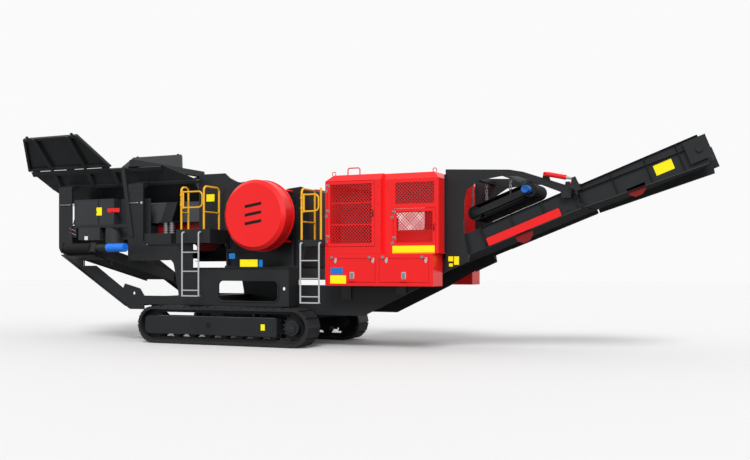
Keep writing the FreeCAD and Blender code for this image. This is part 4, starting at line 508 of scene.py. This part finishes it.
def slope_plate(name, along0, along1, up0, up1, y, thick, finish, body, bevel=0.002, corner=0.0):
    outline = [(along0, up0), (along1, up0), (along1, up1), (along0, up1)]
    if corner:
        path = []
        for i, (a, u) in enumerate(outline):
            before, after = outline[i - 1], outline[(i + 1) % 4]
            start = Vector((before[0] - a, before[1] - u)).normalized() * corner
            end = Vector((after[0] - a, after[1] - u)).normalized() * corner
            for t in (0, 0.25, 0.5, 0.75, 1):
                d = start * (1 - t) ** 2 + end * t ** 2
                path.append((a + d.x, u + d.y))
        outline = path
    return prism(name, [on_slope(a, u, y) for a, u in outline], (0, thick, 0), finish, body, bevel)


def conveyor_details():
    # blank rounded plate on the boom's ribs and a film on the head, on the near side alone
    place = (-1.815, -0.385, -0.402, -0.254, -0.8545, -0.004)
    slope_plate("boom_plate_right", *place, RED, "machine", 0.001, 0.028)
    place = (1.335, 1.650, -0.395, -0.215, -0.800, -0.003)
    slope_plate("head_label_right", *place, LABEL_YELLOW, "conveyor_head", 0.0008)
    # deep red guards of the return idlers, hung under the near panel
    for name, along, body in (("boom_guard", -1.15, "machine"), ("head_guard", 0.95, "conveyor_head")):
        upper = [(-0.17, -0.405), (0.17, -0.405), (0.15, -0.520)]
        outline = [*upper, (0.06, -0.590), (-0.06, -0.590), (-0.15, -0.520)]
        prism(name, [on_slope(along + a, u, -0.800) for a, u in outline], (0, 0.012, 0), DEEP_RED, body)
    for side_name, side in SIDES:
        outer = side * 0.800
        # panel bolts along the flanges
        spots = [on_slope(a, -0.045, outer) for a in [i * 0.15 - 1.75 for i in range(12)]]
        bolts(f"boom_bolts_{side_name}", spots, (0, side, 0), DARK, "machine", 0.009, 0.007)
        spots = [on_slope(a, -0.045, outer) for a in [i * 0.2 + 0.15 for i in range(10)]]
        bolts(f"head_bolts_{side_name}", spots, (0, side, 0), DARK, "conveyor_head", 0.009, 0.007)
        # bright cap on the fold's pin
        cap = ((FOLD_X, side * 0.8525, FOLD_Z), (FOLD_X, side * 0.866, FOLD_Z), 0.019)
        rounds(f"fold_cap_{side_name}", [cap], CHROME, "machine", 24)
    # idler brackets along the boom's panels
    for i, along in enumerate((-1.9, -1.35, -0.8, -0.25)):
        for side_name, side in SIDES:
            y0, y1 = sorted((side * 0.80, side * 0.812))
            outline = ((-0.04, -0.36), (0.04, -0.36), (0.03, -0.30), (-0.03, -0.30))
            corners = [on_slope(along + a, u, y0) for a, u in outline]
            prism(f"idler_bracket_{i}_{side_name[0]}", corners, (0, y1 - y0, 0), BLACK, "machine")


def chassis_details():
    # lock pins through the posts, each with a bolt beside it
    for i, (x0, x1, z) in enumerate(((-4.300, -3.960, 2.954), (-2.390, -2.110, 2.944))):
        rounds(f"lock_pin_{i}", [((x0, -1.282, z), (x1, -1.282, z), 0.013)], STEEL, "machine")
        bolts(f"lock_bolt_{i}", [(x1 + 0.07, -1.270, z)], (0, -1, 0), LIGHT, "machine", 0.022, 0.016)
    # joint bolts along the posts' feet and the deck
    rows = []
    for x in (-4.24, -4.12, -4.0):
        rows += [(x, -1.270, 3.29), (x, -1.270, 3.18)]
    for x in (-2.33, -2.2, -2.07):
        rows += [(x, -1.270, 3.29), (x, -1.270, 3.18)]
    for i in range(9):
        rows.append((-0.62 + i * 0.25, -1.270, 1.52))
    bolts("chassis_bolts_right", rows, (0, -1, 0), DARK, "machine")
    bolts("chassis_bolts_left", [(x, -y, z) for x, y, z in rows], (0, 1, 0), DARK, "machine")


HUB_X, HUB_Z = 1.6475, 0.3875


def track_details():
    for side_name, side in SIDES:
        outer = side * 1.350
        # bright edge of the frame's top flange, and a thin dark disc on its side: painted shade of a round
        # hole
        y0, y1 = sorted((outer, outer - side * 0.030))
        blocks(f"track_edge_{side_name}", [(-1.55, 1.25, y0, y1, 0.566, 0.5745)], STEEL, "machine", 0.001)
        hole = ((-0.30, outer, 0.395), (-0.30, outer + side * 0.004, 0.395), 0.058)
        rounds(f"track_hole_shade_{side_name}", [hole], RUBBER, "machine", 32)
        rim = []
        for i in range(12):
            a = 2 * math.pi * i / 12
            rim.append((HUB_X + 0.120 * math.cos(a), side * 1.3651, HUB_Z + 0.120 * math.sin(a)))
        bolts(f"hub_bolts_{side_name}", rim, (0, side, 0), DARK, "machine", 0.011, 0.010)
        plug = (HUB_X, side * 1.390, HUB_Z)
        bolts(f"hub_plug_{side_name}", [plug], (0, side, 0), DARK, "machine", 0.022, 0.008)


SHAFT_X, SHAFT_Z = 0.852, 2.600
GUARD_BOLT_RADIUS = 0.708


def crusher_details():
    for side_name, side in SIDES:
        spots = []
        for i in range(16):
            a = 2 * math.pi * (i + 0.5) / 16
            x, z = SHAFT_X + GUARD_BOLT_RADIUS * math.cos(a), SHAFT_Z + GUARD_BOLT_RADIUS * math.sin(a)
            spots.append((x, side * 1.1405, z))
        bolts(f"guard_bolts_{side_name}", spots, (0, side, 0), DARK, "machine", 0.005, 0.006)
        # dark discs behind the guard's slots: painted shade standing in for the dark inside of the guard
        mesh = bmesh.new()
        add_round(mesh, (SHAFT_X, side * 1.488, SHAFT_Z), (SHAFT_X, side * 1.490, SHAFT_Z), 0.30, 48)
        from_bmesh(f"guard_slot_shade_{side_name}", mesh, RUBBER, "machine")


def bay_details():
    # the cabinet doors' folds and locks
    for side_name, side in SIDES:
        outer = side * 1.235
        mesh = bmesh.new()
        for x0, x1 in ((-3.88, -3.25), (-3.19, -2.82)):
            add_frame(mesh, x0, x1, 2.52, 3.04, 0.008, *sorted((outer, outer + side * 0.003)))
        from_bmesh(f"cabinet_fold_{side_name}", mesh, DARK, "machine", 0.001)
        locks = [((x, outer, 2.78), (x, outer + side * 0.004, 2.78), 0.014) for x in (-3.27, -2.85)]
        rounds(f"cabinet_lock_{side_name}", locks, STEEL, "machine", 20)
    # lever valves with red and white knobs
    levers, red, white = [], [], []
    for i in range(6):
        x = -3.995 + i * 0.028
        z = 2.405 - 0.012 * i
        for k, dz in enumerate((0.0, -0.085)):
            start, end = (x, -1.236, z + dz), (x, -1.262, z + dz + 0.03)
            levers.append((start, end, 0.004))
            (red if (i + k) % 2 else white).append((end, (x, -1.266, z + dz + 0.038), 0.009))
    rounds("valve_levers", levers, STEEL, "machine", 10)
    rounds("valve_knobs_red", red, RED, "machine", 12)
    rounds("valve_knobs_white", white, LABEL_WHITE, "machine", 12)
    rounds("tank_cap", [((-2.95, -1.05, 2.44), (-2.95, -1.05, 2.475), 0.045)], STEEL, "machine", 24)


def details():
    pack_details()
    make_labels()
    conveyor_details()
    chassis_details()
    track_details()
    crusher_details()
    bay_details()


# Stage and light

FLOOR_TONE = 0.71


def make_stage():
    bpy.ops.mesh.primitive_plane_add(size=200, location=(0, 0, -0.002))
    floor = bpy.context.object
    floor.name = "floor"
    made = bpy.data.materials.new("floor")
    made.use_nodes = True
    tree = made.node_tree
    shader = tree.nodes["Principled BSDF"]
    shader.inputs["Roughness"].default_value = 0.7
    shader.inputs["Specular IOR Level"].default_value = 0.1
    seen_by = tree.nodes.new("ShaderNodeLightPath")
    shade = tree.nodes.new("ShaderNodeMix")
    shade.data_type = "RGBA"
    shade.inputs["A"].default_value = (0.24, 0.24, 0.24, 1)
    shade.inputs["B"].default_value = (FLOOR_TONE, FLOOR_TONE, FLOOR_TONE, 1)
    tree.links.new(seen_by.outputs["Is Camera Ray"], shade.inputs["Factor"])
    tree.links.new(shade.outputs["Result"], shader.inputs["Base Color"])
    floor.data.materials.append(made)
    world = bpy.data.worlds.new("world")
    bpy.context.scene.world = world
    world.use_nodes = True
    tree = world.node_tree
    tree.nodes.clear()
    out = tree.nodes.new("ShaderNodeOutputWorld")
    mix = tree.nodes.new("ShaderNodeMixShader")
    lit = tree.nodes.new("ShaderNodeBackground")
    shown = tree.nodes.new("ShaderNodeBackground")
    lit.inputs["Color"].default_value = (1, 1, 1, 1)
    lit.inputs["Strength"].default_value = 0.75
    shown.inputs["Color"].default_value = (0.955, 0.955, 0.96, 1)
    shown.inputs["Strength"].default_value = 1.0
    path = tree.nodes.new("ShaderNodeLightPath")
    tree.links.new(path.outputs["Is Camera Ray"], mix.inputs["Fac"])
    tree.links.new(lit.outputs["Background"], mix.inputs[1])
    tree.links.new(shown.outputs["Background"], mix.inputs[2])
    tree.links.new(mix.outputs["Shader"], out.inputs["Surface"])
    for name, turn, strength, spread in (("key", (50, 4, 20), 2.5, 22), ("side", (70, 0, 78), 0.75, 50)):
        data = bpy.data.lights.new(name, "SUN")
        data.energy = strength
        data.angle = math.radians(spread)
        lamp = bpy.data.objects.new(name, data)
        lamp.rotation_euler = [math.radians(v) for v in turn]
        bpy.context.scene.collection.objects.link(lamp)
    bpy.context.scene.view_settings.view_transform = "Standard"


make_camera()
make_stage()
dress_nodes()
details()
